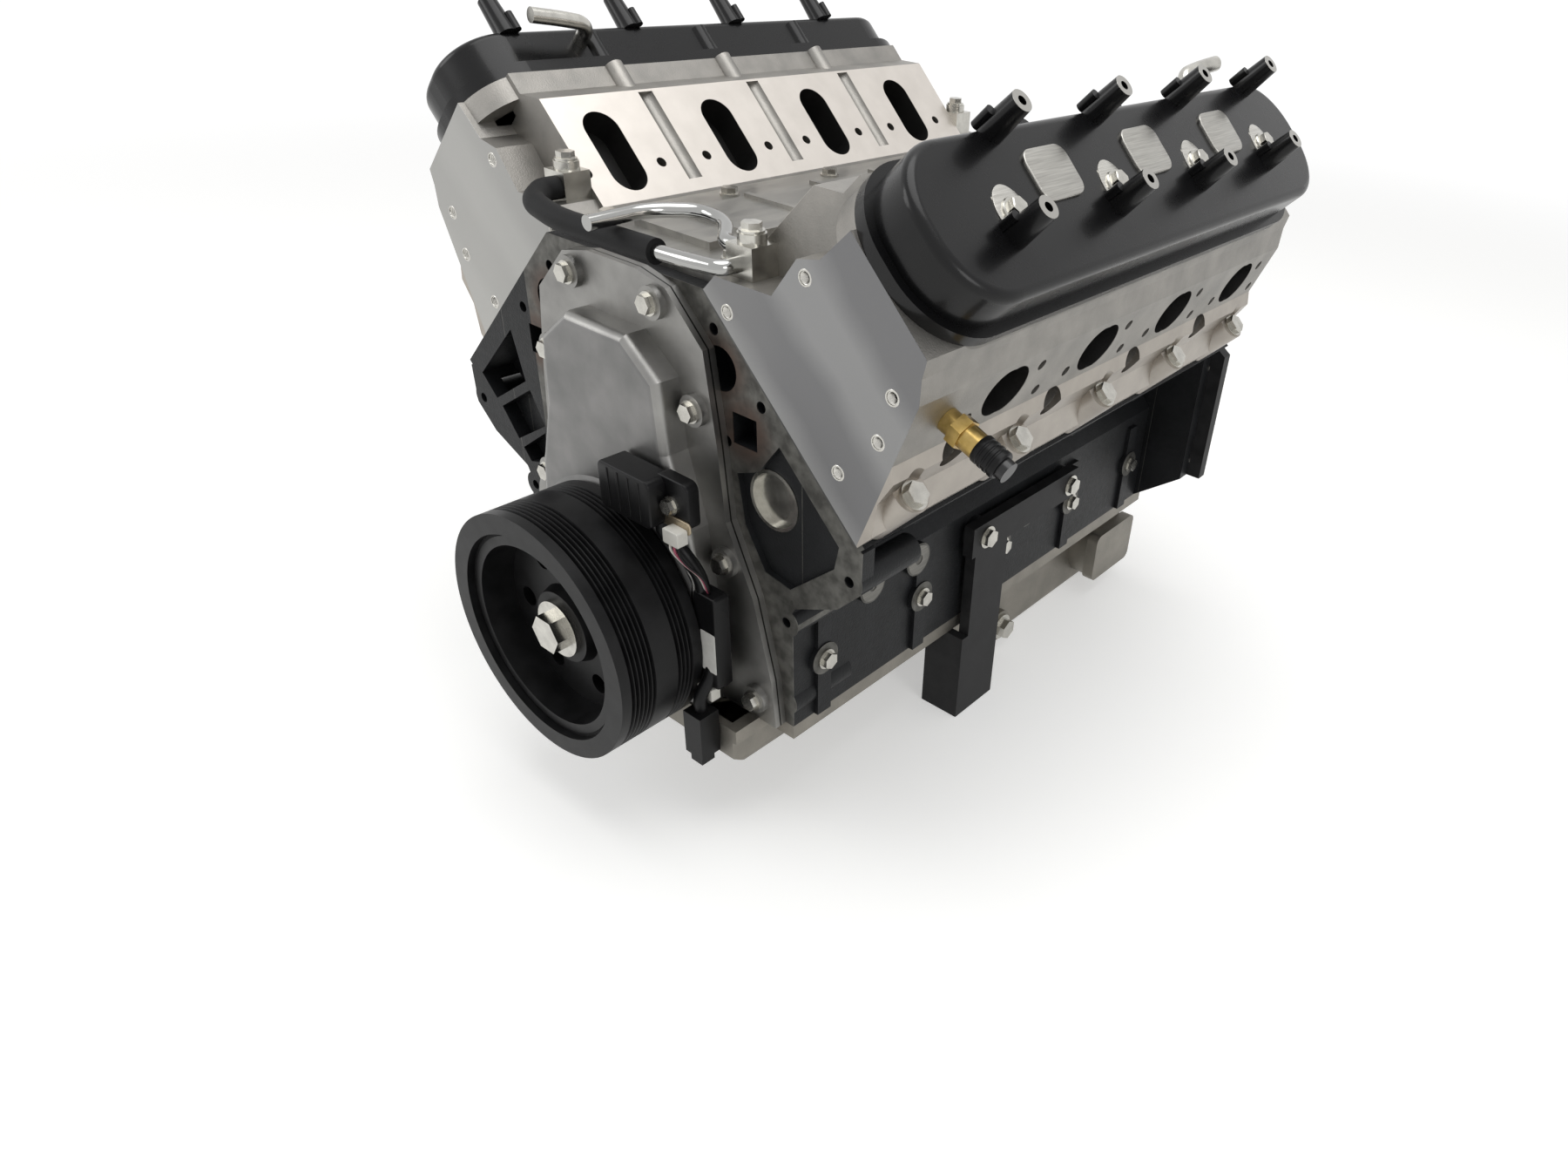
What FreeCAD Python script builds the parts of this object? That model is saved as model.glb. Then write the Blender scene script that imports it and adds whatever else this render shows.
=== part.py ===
import FreeCAD, Part
import Sketcher
import math
import os
import re

# A complete pushrod V8 engine on its transport stands.
# The origin is on the crankshaft axis at the rear face of the block. +Z is up and -Y is the front.
# Each bank has its own frame: x points from the valley to the exhaust side and z along the bores.

SIZES = {
    # cylinder layout
    "bore_pitch": 111.76,
    "bank_offset": 24.13,
    "bore_radius": 51.6,
    "crank_throw": 46.0,
    "rod_length": 154.9,
    "deck_height": 234.7,
    "cam_height": 124.9,
    "rear_main": 49.4,
    "front_main": 28.56,
    "fit_gap": 0.05,
    "flat_gap": 0.3,
    # block casting
    "deck_inner": 118.0,
    "deck_outer": 66.0,
    "deck_rim": 22.0,
    "jacket_out": 58.0,
    "jacket_foot": 136.0,
    "skirt_half": 150.0,
    "skirt_top": 40.0,
    "skirt_depth": 60.0,
    "bulkhead": 24.0,
    "channel_half": 100.0,
    "bay_half": 134.0,
    "bay_top": 92.0,
    "valley_half": 50.0,
    "valley_floor": 162.0,
    "bell_thick": 15.0,
    "bell_half": 198.0,
    "bell_low": 24.0,
    "main_radius": 32.5,
    "cam_radius": 27.5,
    "cup_radius": 22.0,
    "cup_x": 130.0,
    "cup_z": 120.0,
    "ear_x": 201.0,
    "ear_z": 90.0,
    "ear_radius": 11.0,
    "ear_length": 60.0,
    "wing_thick": 12.0,
    "pocket_depth": 28.0,
    "panel_depth": 5.0,
    # heads and gaskets, in the bank's own frame
    "gasket_thick": 1.3,
    "head_length": 490.0,
    "head_inner": 120.0,
    "head_outer": 63.0,
    "intake_plane": 124.0,
    "intake_top": 330.0,
    "intake_end": 30.0,
    "rail_height": 363.0,
    "rail_inner": 108.0,
    "rail_outer": 3.0,
    "rail_corner": 50.0,
    "ledge_height": 299.0,
    "ledge_out": 35.0,
    "face_height": 341.0,
    "face_out": 17.0,
    "port_height": 283.0,
    "port_half": 33.0,
    "port_width": 30.0,
    "port_depth": 24.0,
    "exhaust_radius": 18.0,
    "intake_shift": 11.0,
    "exhaust_shift": 20.0,
    "plug_shift": 20.0,
    "bolt_line": 54.0,
    "bolt_seat": 44.0,
    "rod_line": 88.3,
    "rod_hole": 6.5,
    "valve_shift": 27.0,
    "valve_tilt": 15.0,
    "stem_radius": 4.0,
    "intake_valve": 25.0,
    "exhaust_valve": 20.0,
    "spring_radius": 15.0,
    "spring_seat": 82.0,
    "spring_height": 39.0,
    # valve covers
    "cover_length": 490.0,
    "cover_top": 403.0,
    "cover_wall": 4.0,
    "cover_flange": 9.0,
    "cover_step": 6.0,
    "cover_bolt_line": 50.0,
    "cover_bolt_shift": 1.0,
    "post_height": 30.0,
    "post_radius": 7.5,
    "post_inner": 98.0,
    "post_outer": 37.0,
    "inner_shift": 22.0,
    "outer_shift": 8.0,
    # front of the engine
    "front_flange": 10.0,
    "front_depth": 31.0,
    "front_wall": 4.0,
    "front_boss": 36.0,
    "front_dome": 98.0,
    "sprocket_thick": 9.0,
    "crank_sprocket": 25.0,
    "chain_thick": 8.0,
    "chain_width": 8.0,
    "snout_radius": 19.0,
    "damper_gap": 35.0,
    "damper_length": 70.0,
    "damper_radius": 95.25,
    "damper_ring": 15.0,
    "damper_rubber": 3.0,
    "damper_hub": 31.0,
    "damper_web": 12.0,
    # rear of the engine
    "flange_radius": 50.0,
    "flange_circle": 39.5,
    "flange_hole": 5.5,
    "rear_cover_radius": 84.0,
    "rear_cover_thick": 10.0,
    "seal_width": 8.0,
    # valley cover
    "valley_cover_half": 79.5,
    "valley_cover_thick": 8.0,
    "valley_bolt_x": 62.6,
    # oil pan
    "pan_rail": 12.0,
    "pan_depth": 42.0,
    "sump_depth": 160.0,
    "sump_front": 290.0,
    "pan_half": 132.0,
    "sump_half": 118.0,
    "pan_wall": 6.0,
    # fasteners
    "bolt_small": 4.0,
    "bolt_medium": 5.0,
    "head_small": 6.5,
    "head_medium": 8.0,
    "bolt_cap": 6.0,
    # stands
    "stand_thick": 10.0,
    "stand_pillar": 46.0,
    "stand_y": 305.0,
    "plate_thick": 12.0,
    "plate_half": 212.0,
}

# Lengths that add up from the sizes above, as how much of each they hold
SUMS = {
    "block_length": {"rear_main": 1, "bore_pitch": 4, "front_main": 1},
    "damper_front": {"rear_main": 1, "bore_pitch": 4, "front_main": 1, "damper_gap": 1, "damper_length": 1},
    "exhaust_height": {"ledge_height": 0.5, "face_height": 0.5},
    "exhaust_out": {"ledge_out": 0.5, "face_out": 0.5},
}

doc = FreeCAD.newDocument("EngineV8")
sheet = doc.addObject("Spreadsheet::Sheet", "Dims")
for row, (alias, number) in enumerate(SIZES.items(), 1):
    sheet.set("A%d" % row, alias)
    sheet.set("B%d" % row, str(number))
    sheet.setAlias("B%d" % row, alias)
doc.recompute()

WORD = re.compile(r"[a-z][a-z_]+")
NODES = {}
LEFT, RIGHT = -1, 1
UP = FreeCAD.Vector(0, 0, 1)
ALONG_Y = FreeCAD.Vector(0, 1, 0)


def size(alias):
    if alias in SUMS:
        return sum(share * size(part) for part, share in SUMS[alias].items())
    return float(sheet.get(alias))


def spelled(word):
    if word in SUMS:
        return "(" + " + ".join("%g * Dims.%s" % (share, part) for part, share in SUMS[word].items()) + ")"
    return "Dims." + word if word in SIZES else word


def bound(text):
    return WORD.sub(lambda found: spelled(found.group()), str(text))


def bind(thing, **sizes):
    for name, text in sizes.items():
        thing.setExpression(name, bound(text))
    return thing


def put(thing, place, turn=None):
    if turn is not None:
        thing.Placement = FreeCAD.Placement(FreeCAD.Vector(), turn)
    for letter, text in zip("xyz", place):
        thing.setExpression("Placement.Base." + letter, bound(text))
    return thing


def facing(x, y, z):
    return FreeCAD.Rotation(UP, FreeCAD.Vector(x, y, z))


FORWARD = facing(0, -1, 0)
REARWARD = facing(0, 1, 0)


def leaning(degrees):
    return FreeCAD.Rotation(ALONG_Y, degrees)


def block(place, spans):
    box = bind(doc.addObject("Part::Box", "Box"), Length=spans[0], Width=spans[1], Height=spans[2])
    return put(box, place)


def rod(radius, length, place, turn=None):
    return put(bind(doc.addObject("Part::Cylinder", "Rod"), Radius=radius, Height=length), place, turn)


def taper(radius, far_radius, length, place, turn=None):
    cone = bind(doc.addObject("Part::Cone", "Taper"), Radius1=radius, Radius2=far_radius, Height=length)
    return put(cone, place, turn)


def ball(radius, place):
    return put(bind(doc.addObject("Part::Sphere", "Ball"), Radius=radius), place)


def outline(points, turn, place):
    sketch = doc.addObject("Sketcher::SketchObject", "Outline")
    put(sketch, place, turn)
    guess = [(math.cos(6.2 * i / len(points)) * 50, math.sin(6.2 * i / len(points)) * 50) for i in range(len(points))]
    for i in range(len(points)):
        start = FreeCAD.Vector(*guess[i], 0)
        finish = FreeCAD.Vector(*guess[(i + 1) % len(points)], 0)
        sketch.addGeometry(Part.LineSegment(start, finish), False)
    for i, (across, up) in enumerate(points):
        sketch.addConstraint(Sketcher.Constraint("Coincident", i, 2, (i + 1) % len(points), 1))
        for kind, text, number in (("DistanceX", across, guess[i][0]), ("DistanceY", up, guess[i][1])):
            index = sketch.addConstraint(Sketcher.Constraint(kind, -1, 1, i, 1, number))
            sketch.setExpression("Constraints[%d]" % index, bound(text))
    return sketch


def extrude(sketch, length, way):
    solid = doc.addObject("Part::Extrusion", "Extrusion")
    solid.Base = sketch
    solid.DirMode = "Custom"
    solid.Dir = FreeCAD.Vector(*way)
    solid.Solid = True
    return bind(solid, LengthFwd=length)


# A section across the engine or a bank, carried rearward from y.
def prism(points, y, length):
    return extrude(outline(points, FreeCAD.Rotation(FreeCAD.Vector(1, 0, 0), 90), (0, y, 0)), length, (0, 1, 0))


# A flat plan, carried up from z.
def slab(points, z, length):
    return extrude(outline(points, FreeCAD.Rotation(), (0, 0, z)), length, (0, 0, 1))


# A turned piece about the Y axis from (radius, y) points.
def turned(points):
    solid = doc.addObject("Part::Revolution", "Turned")
    solid.Source = outline(points, FreeCAD.Rotation(), (0, 0, 0))
    solid.Axis = ALONG_Y
    solid.Angle = 360
    solid.Solid = True
    return solid


def several(kind, things):
    if len(things) == 1:
        return things[0]
    group = doc.addObject(kind, "Group")
    if kind == "Part::Compound":
        group.Links = things
    else:
        group.Shapes = things
    return group


def fuse(*things):
    return several("Part::MultiFuse", list(things))


def cut(base, *tools):
    cutter = doc.addObject("Part::Cut", "Cut")
    cutter.Base = base
    cutter.Tool = fuse(*tools)
    return cutter


def common(*things):
    group = doc.addObject("Part::MultiCommon", "Common")
    group.Shapes = list(things)
    return group


def copy_of(thing, place, turn=None):
    link = doc.addObject("App::Link", "Copy")
    link.LinkedObject = thing
    link.LinkTransform = True
    return put(link, place, turn if turn else FreeCAD.Rotation())


def on_bank(thing, side):
    place = (0, "-(rear_main + 2 * bore_pitch) - %d * bank_offset / 2" % side, 0)
    turn = leaning(45) if side == RIGHT else leaning(-45).multiply(FreeCAD.Rotation(UP, 180))
    return copy_of(thing, place, turn)


def rounded(thing, radius, chosen):
    doc.recompute()
    edges = [i for i, edge in enumerate(thing.Shape.Edges, 1) if chosen(edge)]
    smooth = doc.addObject("Part::Fillet", "Rounded")
    smooth.Base = thing
    smooth.Edges = [(i, radius, radius) for i in edges]
    return smooth


def upright(edge):
    first, last = edge.Vertexes[0].Point, edge.Vertexes[-1].Point
    return math.hypot(first.x - last.x, first.y - last.y) < 1e-6 and abs(first.z - last.z) > 1e-6


def lengthwise(edge):
    first, last = edge.Vertexes[0].Point, edge.Vertexes[-1].Point
    return math.hypot(first.x - last.x, first.z - last.z) < 1e-6 and abs(first.y - last.y) > 1e-6


def node(name, *things):
    result = several("Part::Compound", list(things))
    result.Label = name
    NODES[name] = result
    return result


# A hexagon bolt whose head's seat is at the place and whose shank runs backwards from the turn's direction.
def bolt(radius, head, shank, place, turn):
    prism_six = bind(doc.addObject("Part::Prism", "Hexagon"), Circumradius=head, Height="bolt_cap")
    prism_six.Polygon = 6
    flange = rod("%s * 1.22" % head, "1.6", (0, 0, 0))
    shaft = rod(radius, shank, (0, 0, "-(%s)" % shank))
    return copy_of(fuse(prism_six, flange, shaft), place, turn)


def main_y(step):
    return "-(rear_main + %d * bore_pitch)" % step


def pin_y(step):
    return "-(rear_main + %.1f * bore_pitch)" % (step + 0.5)


def local_y(step, shift="0"):
    return "(%.1f * bore_pitch + %s)" % (step - 1.5, shift)


# A round piece along a bank's bores, given in the bank's frame.
def bank_rod(side, radius, length, across, y, height):
    place = ("%d * ((%s) + (%s)) * sqrt(0.5)" % (side, height, across), y,
             "((%s) - (%s)) * sqrt(0.5)" % (height, across))
    return rod(radius, length, place, leaning(45 * side))


def bore_y(side, step, shift="0"):
    return "(%s - %d * bank_offset / 2 + %d * (%s))" % (pin_y(step), side, -side if side == LEFT else 1, shift)


# A place along a bank given in the bank's frame, whose left side is turned end for end.
def bank_y(side, local):
    return "(-(rear_main + 2 * bore_pitch) - %d * bank_offset / 2 + %d * (%s))" % (side, side, local)


def mirrored(points):
    return [("-(%s)" % x, z) for x, z in reversed(points)] + list(points)


# Round bar or hose along straight runs joined by tangent arcs.
def bent_bar(points, radius, share=0.45):
    corners = [FreeCAD.Vector(*point) for point in points]
    edges = []
    start = corners[0]
    for before, corner, after in zip(corners, corners[1:], corners[2:]):
        back = (before - corner).normalize()
        ahead = (after - corner).normalize()
        reach = share * min((before - corner).Length, (after - corner).Length)
        first = corner + back * reach
        last = corner + ahead * reach
        half = math.acos(max(-1.0, min(1.0, -back.dot(ahead)))) / 2
        middle_way = (back + ahead).normalize()
        bend = reach / math.tan(half)
        middle = corner + middle_way * (bend / math.cos(half) - bend)
        edges.append(Part.LineSegment(start, first).toShape())
        edges.append(Part.Arc(first, middle, last).toShape())
        start = last
    edges.append(Part.LineSegment(start, corners[-1]).toShape())
    path = Part.Wire(edges)
    circle = Part.Wire([Part.makeCircle(radius, corners[0], corners[1] - corners[0])])
    bar = doc.addObject("Part::Feature", "BentBar")
    bar.Shape = path.makePipeShell([circle], True, False)
    return bar


# Engine block: outer casting
deck_in = ("(deck_height - deck_inner) * sqrt(0.5)", "(deck_height + deck_inner) * sqrt(0.5)")
deck_out = ("(deck_height + deck_outer) * sqrt(0.5)", "(deck_height - deck_outer) * sqrt(0.5)")
rim_out = ("(deck_height - deck_rim + deck_outer) * sqrt(0.5)", "(deck_height - deck_rim - deck_outer) * sqrt(0.5)")
rim_in = ("(deck_height - deck_rim + jacket_out) * sqrt(0.5)", "(deck_height - deck_rim - jacket_out) * sqrt(0.5)")
foot = ("(jacket_foot + jacket_out) * sqrt(0.5)", "(jacket_foot - jacket_out) * sqrt(0.5)")
half_block = [("skirt_half", "-skirt_depth"), ("skirt_half", "skirt_top"), foot, rim_in, rim_out, deck_out, deck_in]
casting = prism([("-(%s)" % x, z) for x, z in half_block] + half_block[::-1], "-block_length", "block_length")
bell = prism(mirrored([("deck_inner * 0.62", "(deck_height + deck_inner) * sqrt(0.5)"), ("bell_half * 0.78", "195"),
                       ("bell_half", "118"), ("bell_half", "-bell_low"), ("skirt_half", "-skirt_depth")][::-1]),
             "-bell_thick", "bell_thick")
ears = [rod("ear_radius", "ear_length", ("%d * %s" % (side, x), "-block_length", z), REARWARD)
        for side in (LEFT, RIGHT) for x, z in (("ear_x", "ear_z"), ("(skirt_half - 6)", "31"), ("(skirt_half - 8)", "-40"))]
wing_line = [("skirt_half - 20", "-skirt_depth + 60"), ("skirt_half + 2", "46"), ("ear_x - 10", "ear_z - 26"),
             ("ear_x + 10", "ear_z - 6"), (deck_out[0] + " - 1", deck_out[1] + " - 4"), ("skirt_half - 20", "170")]
wings = [prism([("%d * (%s)" % (side, x), z) for x, z in wing_line[::side]], "-block_length", "wing_thick")
         for side in (LEFT, RIGHT)]
mount_pads = [rod("14", "21", ("%d * (skirt_half - 16)" % side, y, z), facing(side, 0, 0))
              for side in (LEFT, RIGHT) for y, z in (("-stand_y - 87", "28"), ("-stand_y - 141", "29"), ("-stand_y + 69", "8"))]
side_ribs = [block(("%d * skirt_half - 4" % side, "%s - 7" % main_y(step), "-skirt_depth"), (8, 14, "skirt_depth + 30"))
             for side in (LEFT, RIGHT) for step in range(5)]
stand_pads = [rod("14", "20", ("%d * (skirt_half - 15)" % side, y, "20"), facing(side, 0, 0))
              for side in (LEFT, RIGHT) for y in ("-stand_y - 9", "-stand_y + 120")]
side_bosses = [rod("13", "skirt_half + 5 - 130", ("%d * 130" % side, main_y(step), "-10"), facing(side, 0, 0))
               for side in (LEFT, RIGHT) for step in range(5)]
rim_ribs = [bank_rod(side, "9", "60", "jacket_out - 2", bank_y(side, local_y(step, "-bore_pitch / 2")),
                     "deck_height - deck_rim - 60") for side in (LEFT, RIGHT) for step in range(5)]
body = fuse(casting, bell, *(ears + wings + mount_pads + side_ribs + stand_pads + side_bosses + rim_ribs))

# Engine block: bores, crankcase, tunnels and valley
bay = [("bay_half", "-skirt_depth - 1"), ("bay_half", "20"), ("84", "bay_top - 10"), ("42", "bay_top + 6")]
hollows = [prism(mirrored(bay), "%s + bulkhead / 2" % main_y(step + 1), "bore_pitch - bulkhead") for step in range(4)]
hollows.append(block(("-channel_half", "-block_length - 1", "-skirt_depth - 1"),
                     ("2 * channel_half", "block_length - 14 + 1", "skirt_depth + 1")))
hollows.append(prism(mirrored([("valley_half - 22", "valley_floor"), ("valley_half", "valley_floor + 26"),
                               ("valley_half", "(deck_height + deck_inner) * sqrt(0.5) + 1")]),
                     "-block_length + 30", "block_length - 60"))
hollows.append(rod("main_radius + fit_gap", "block_length + 2", (0, "-block_length - 1", 0), REARWARD))
hollows.append(rod("cam_radius + fit_gap", "block_length - 29", (0, "-block_length - 1", "cam_height"), REARWARD))
hollows.append(rod("rear_cover_radius + 0.5", "20", (0, "-14", 0), REARWARD))
for side in (LEFT, RIGHT):
    for step in range(4):
        hollows.append(bank_rod(side, "bore_radius", "deck_height - 96 + 1", 0, bore_y(side, step), "96"))
        for shift in ("-valve_shift", "valve_shift"):
            y = bank_y(side, local_y(step, shift))
            hollows.append(bank_rod(side, "10.75", "76", "-rod_line", y, "rod_line + 4"))
            hollows.append(bank_rod(side, "rod_hole", "deck_height - rod_line", "-rod_line", y, "rod_line + 70"))
    for step in range(5):
        hollows.append(bank_rod(side, "bolt_medium + 0.6", "71", "bolt_line",
                                bank_y(side, local_y(step, "-bore_pitch / 2")), "deck_height - 70"))
    hollows.append(rod("cup_radius", "14", ("%d * cup_x" % side, "-block_length - 1" if side == RIGHT else "-13", "cup_z"),
                       REARWARD))
    hollows.append(rod("15", "20", ("%d * 88" % side, "-block_length - 1", "201"), REARWARD))
    hollows.append(block(("%d * 109 - 11" % side, "-block_length - 1", "153"), (22, 19, 22)))
    for x, z in (("84", "226"), ("124.6", "186"), ("92", "152"), ("ear_x", "ear_z"), ("(skirt_half - 6)", "31")):
        hollows.append(rod("bolt_small", "17", ("%d * %s" % (side, x), "-block_length - 1", z), REARWARD))
    for y in ("-stand_y - 9", "-stand_y + 120"):
        hollows.append(rod("bolt_medium + 0.1", "16", ("%d * (skirt_half - 10)" % side, y, "20"), facing(side, 0, 0)))
    for step in range(5):
        hollows.append(rod("4.1", "skirt_half - channel_half + 12", ("%d * (channel_half - 1)" % side, main_y(step), "-10"),
                           facing(side, 0, 0)))
    for row in range(5):
        hollows.append(rod("bolt_small", "16", ("%d * valley_bolt_x" % side, "-block_length + 38 + %d * 112" % row,
                                               "(deck_height + deck_inner) * sqrt(0.5) - 15")))
    for x, z in (("41.7", "234.7"), ("75.3", "172"), ("98", "66"), ("124", "-40")):
        hollows.append(rod("bolt_small + 0.1", "21", ("%d * %s" % (side, x), "-block_length - 1", z), REARWARD))
panel = [("100", "131"), ("120", "139"), ("140", "164"), ("192", "112"), ("188", "94"), ("148", "60"), ("124", "64"), ("106", "94")]
hollows.append(prism(panel, "-block_length - 1", "panel_depth + 1"))
for pocket in ([("-146", "163"), ("-197", "113"), ("-181", "96"), ("-136", "124")],
               [("-132", "118"), ("-175", "91"), ("-158", "68"), ("-118", "92")],
               [("-119", "86"), ("-153", "62"), ("-145", "52"), ("-124", "58")]):
    hollows.append(prism(pocket, "-block_length - 1", "pocket_depth + 1"))
node("engine_block", cut(body, *hollows))

# Main bearing caps across the crankcase channel
caps = []
for step in range(5):
    cap = block(("-channel_half", "%s - bulkhead / 2" % main_y(step), "-skirt_depth"),
                ("2 * channel_half", "bulkhead", "skirt_depth"))
    threads = [rod("4.1", "30", ("%d * (channel_half - 24)" % side, main_y(step), "-10"), facing(side, 0, 0))
               for side in (LEFT, RIGHT)]
    caps.append(cut(cap, rod("main_radius + fit_gap", "bulkhead + 2", (0, "%s - bulkhead / 2 - 1" % main_y(step), 0),
                             REARWARD), *threads))
node("main_bearing_caps", *caps)
node("side_bolts", *[bolt("4", "head_small", "skirt_half + 5 - channel_half + 20",
                          ("%d * (skirt_half + 5)" % side, main_y(step), "-10"), facing(side, 0, 0))
                     for side in (LEFT, RIGHT) for step in range(5)])

# Crankshaft with cross-plane throws
throws = [0, 90, 270, 180]
pieces = [rod("main_radius", "bulkhead + 1.2", (0, "%s - bulkhead / 2 - 0.6" % main_y(step), 0), REARWARD)
          for step in range(5)]
for step, degrees in enumerate(throws):
    east, north = round(math.sin(math.radians(degrees))), round(math.cos(math.radians(degrees)))
    place = ("%d * crank_throw" % east, "%s - 26" % pin_y(step), "%d * crank_throw" % north)
    pieces.append(rod("26.65", "52", place, REARWARD))
    for reach in (-1, 1):
        y = "%s + 25.5" % pin_y(step) if reach > 0 else "%s - 25.5 - 18" % pin_y(step)
        cheek = fuse(rod("36", "18", (place[0], y, place[2]), REARWARD), rod("40", "18", (0, y, 0), REARWARD))
        if (step, reach) in ((0, 1), (0, -1), (1, 1), (2, -1), (3, 1), (3, -1)):
            weight = rod("80", "18", (0, y, 0), REARWARD)
            keep = block(("-82", y, "-82"), (164, 18, 70))
            pieces.append(copy_of(common(weight, keep), (0, 0, 0), leaning(degrees)))
        pieces.append(cheek)
pieces.append(rod("snout_radius", "damper_front - 24 - block_length + 60", (0, "-damper_front + 24", 0), REARWARD))
pieces.append(rod("30", "30", (0, "-rear_main + bulkhead / 2", 0), REARWARD))
pieces.append(rod("flange_radius", "14", (0, "-14", 0), REARWARD))
flange_holes = [rod("flange_hole", "16", ("flange_circle * %.6f" % math.cos(math.radians(60 * turn)), "-15",
                                          "flange_circle * %.6f" % math.sin(math.radians(60 * turn))), REARWARD)
                for turn in range(6)]
flange_holes.append(rod("12.5", "20", (0, "-19", 0), REARWARD))
flange_holes.append(rod("8", "50", (0, "-damper_front + 23", 0), REARWARD))
node("crankshaft", cut(fuse(*pieces), *flange_holes))

# Timing drive
front = "-block_length"


def toothed(radius, teeth, y, width, height):
    wheel = rod("%s - 2.5" % radius, width, (0, y, height), REARWARD)
    points = [("%s - 3" % radius, "-2.6"), (radius, "-1.2"), (radius, "1.2"), ("%s - 3" % radius, "2.6")]
    tooth = prism(points, 0, width)
    return fuse(wheel, *[copy_of(tooth, (0, y, height), leaning(360.0 / teeth * i)) for i in range(teeth)])


chain_y = "%s - 4 - sprocket_thick" % front
node("crank_sprocket", cut(toothed("crank_sprocket", 18, chain_y, "sprocket_thick", "0"),
                           rod("snout_radius + 0.01", "sprocket_thick + 2", (0, chain_y + " - 1", 0), REARWARD)))
cam_wheel = toothed("(2 * crank_sprocket)", 36, chain_y, "sprocket_thick", "cam_height")
cam_holes = [rod("12", "20", (0, chain_y + " - 1", "cam_height"), REARWARD)]
cam_holes += [rod("9", "20", ("38 * %.6f" % math.cos(math.radians(72 * i + 18)), chain_y + " - 1",
                              "cam_height + 38 * %.6f" % math.sin(math.radians(72 * i + 18))), REARWARD) for i in range(5)]
node("cam_sprocket", cut(cam_wheel, *cam_holes))


def loop(low, high, y, width):
    sine = (size("crank_sprocket")) / size("cam_height")
    cosine = math.sqrt(1 - sine * sine)
    side = [("(%s) * %.6f" % (low, cosine), "-(%s) * %.6f" % (low, sine)),
            ("(%s) * %.6f" % (high, cosine), "cam_height - (%s) * %.6f" % (high, sine))]
    band = prism([("-(%s)" % x, z) for x, z in side] + side[::-1], y, width)
    return fuse(band, rod(low, width, (0, y, 0), REARWARD), rod(high, width, (0, y, "cam_height"), REARWARD))


chain = cut(loop("crank_sprocket + 0.4 + chain_thick", "2 * crank_sprocket + 0.4 + chain_thick", chain_y, "chain_width"),
            loop("crank_sprocket + 0.4", "2 * crank_sprocket + 0.4", chain_y + " - 1", "chain_width + 2"))
node("timing_chain", chain)

# Camshaft with two lobes for every cylinder
cam = [rod("cam_radius", "bulkhead", (0, "%s - bulkhead / 2" % main_y(step), "cam_height"), REARWARD) for step in range(5)]
cam.append(rod("16", "block_length - 34", (0, front, "cam_height"), REARWARD))
cam.append(rod("11.9", "14", (0, chain_y, "cam_height"), REARWARD))
phase = 0
for side in (LEFT, RIGHT):
    for step in range(4):
        for shift in ("-valve_shift", "valve_shift"):
            phase += 67.5
            y = "%s - 6.5" % bore_y(side, step, shift)
            cam.append(rod("19", "13", (0, y, "cam_height"), REARWARD))
            cam.append(rod("13", "13", ("13 * %.6f" % math.sin(math.radians(phase)), y,
                                        "cam_height + 13 * %.6f" % math.cos(math.radians(phase))), REARWARD))
node("camshaft", fuse(*cam))
retainer = prism([("-46", "cam_height - 26"), ("46", "cam_height - 26"), ("46", "cam_height + 26"),
                  ("-46", "cam_height + 26")], "%s - 3.5" % front, "3.5")
node("camshaft_retainer", cut(retainer, rod("16.3", "8", (0, "%s - 5" % front, "cam_height"), REARWARD)))

# Oil pump on the crankshaft nose, with its pickup in the sump
pump = prism([("-44", "-50"), ("44", "-50"), ("52", "0"), ("40", "42"), ("-40", "42"), ("-52", "0")],
             "%s - 26" % front, "12")
node("oil_pump", cut(pump, rod("snout_radius + 0.1", "14", (0, "%s - 27" % front, 0), REARWARD)))
pump_mouth = -size("block_length") - 20
strainer_y = 90 - size("sump_front")
pickup = bent_bar([(38, pump_mouth, -50), (38, pump_mouth, -76), (76, pump_mouth + 30, -77), (76, strainer_y - 40, -78),
                   (40, strainer_y, -116), (40, strainer_y, -144)], 7, 0.4)
strainer = taper("14", "34", "9", (40, strainer_y, -143), facing(0, 0, -1))
node("oil_pickup_tube", fuse(pickup, strainer))
arch = [("-96", "-skirt_depth"), ("-96", "-skirt_depth - 3"), ("-60", "-skirt_depth - 3"), ("-30", "-skirt_depth - 30"),
        ("30", "-skirt_depth - 30"), ("60", "-skirt_depth - 3"), ("96", "-skirt_depth - 3"), ("96", "-skirt_depth"),
        ("58", "-skirt_depth"), ("28", "-skirt_depth - 27"), ("-28", "-skirt_depth - 27"), ("-58", "-skirt_depth")]
node("windage_tray", prism(arch, "%s + 14" % main_y(4), "4 * bore_pitch - 28"))

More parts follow.
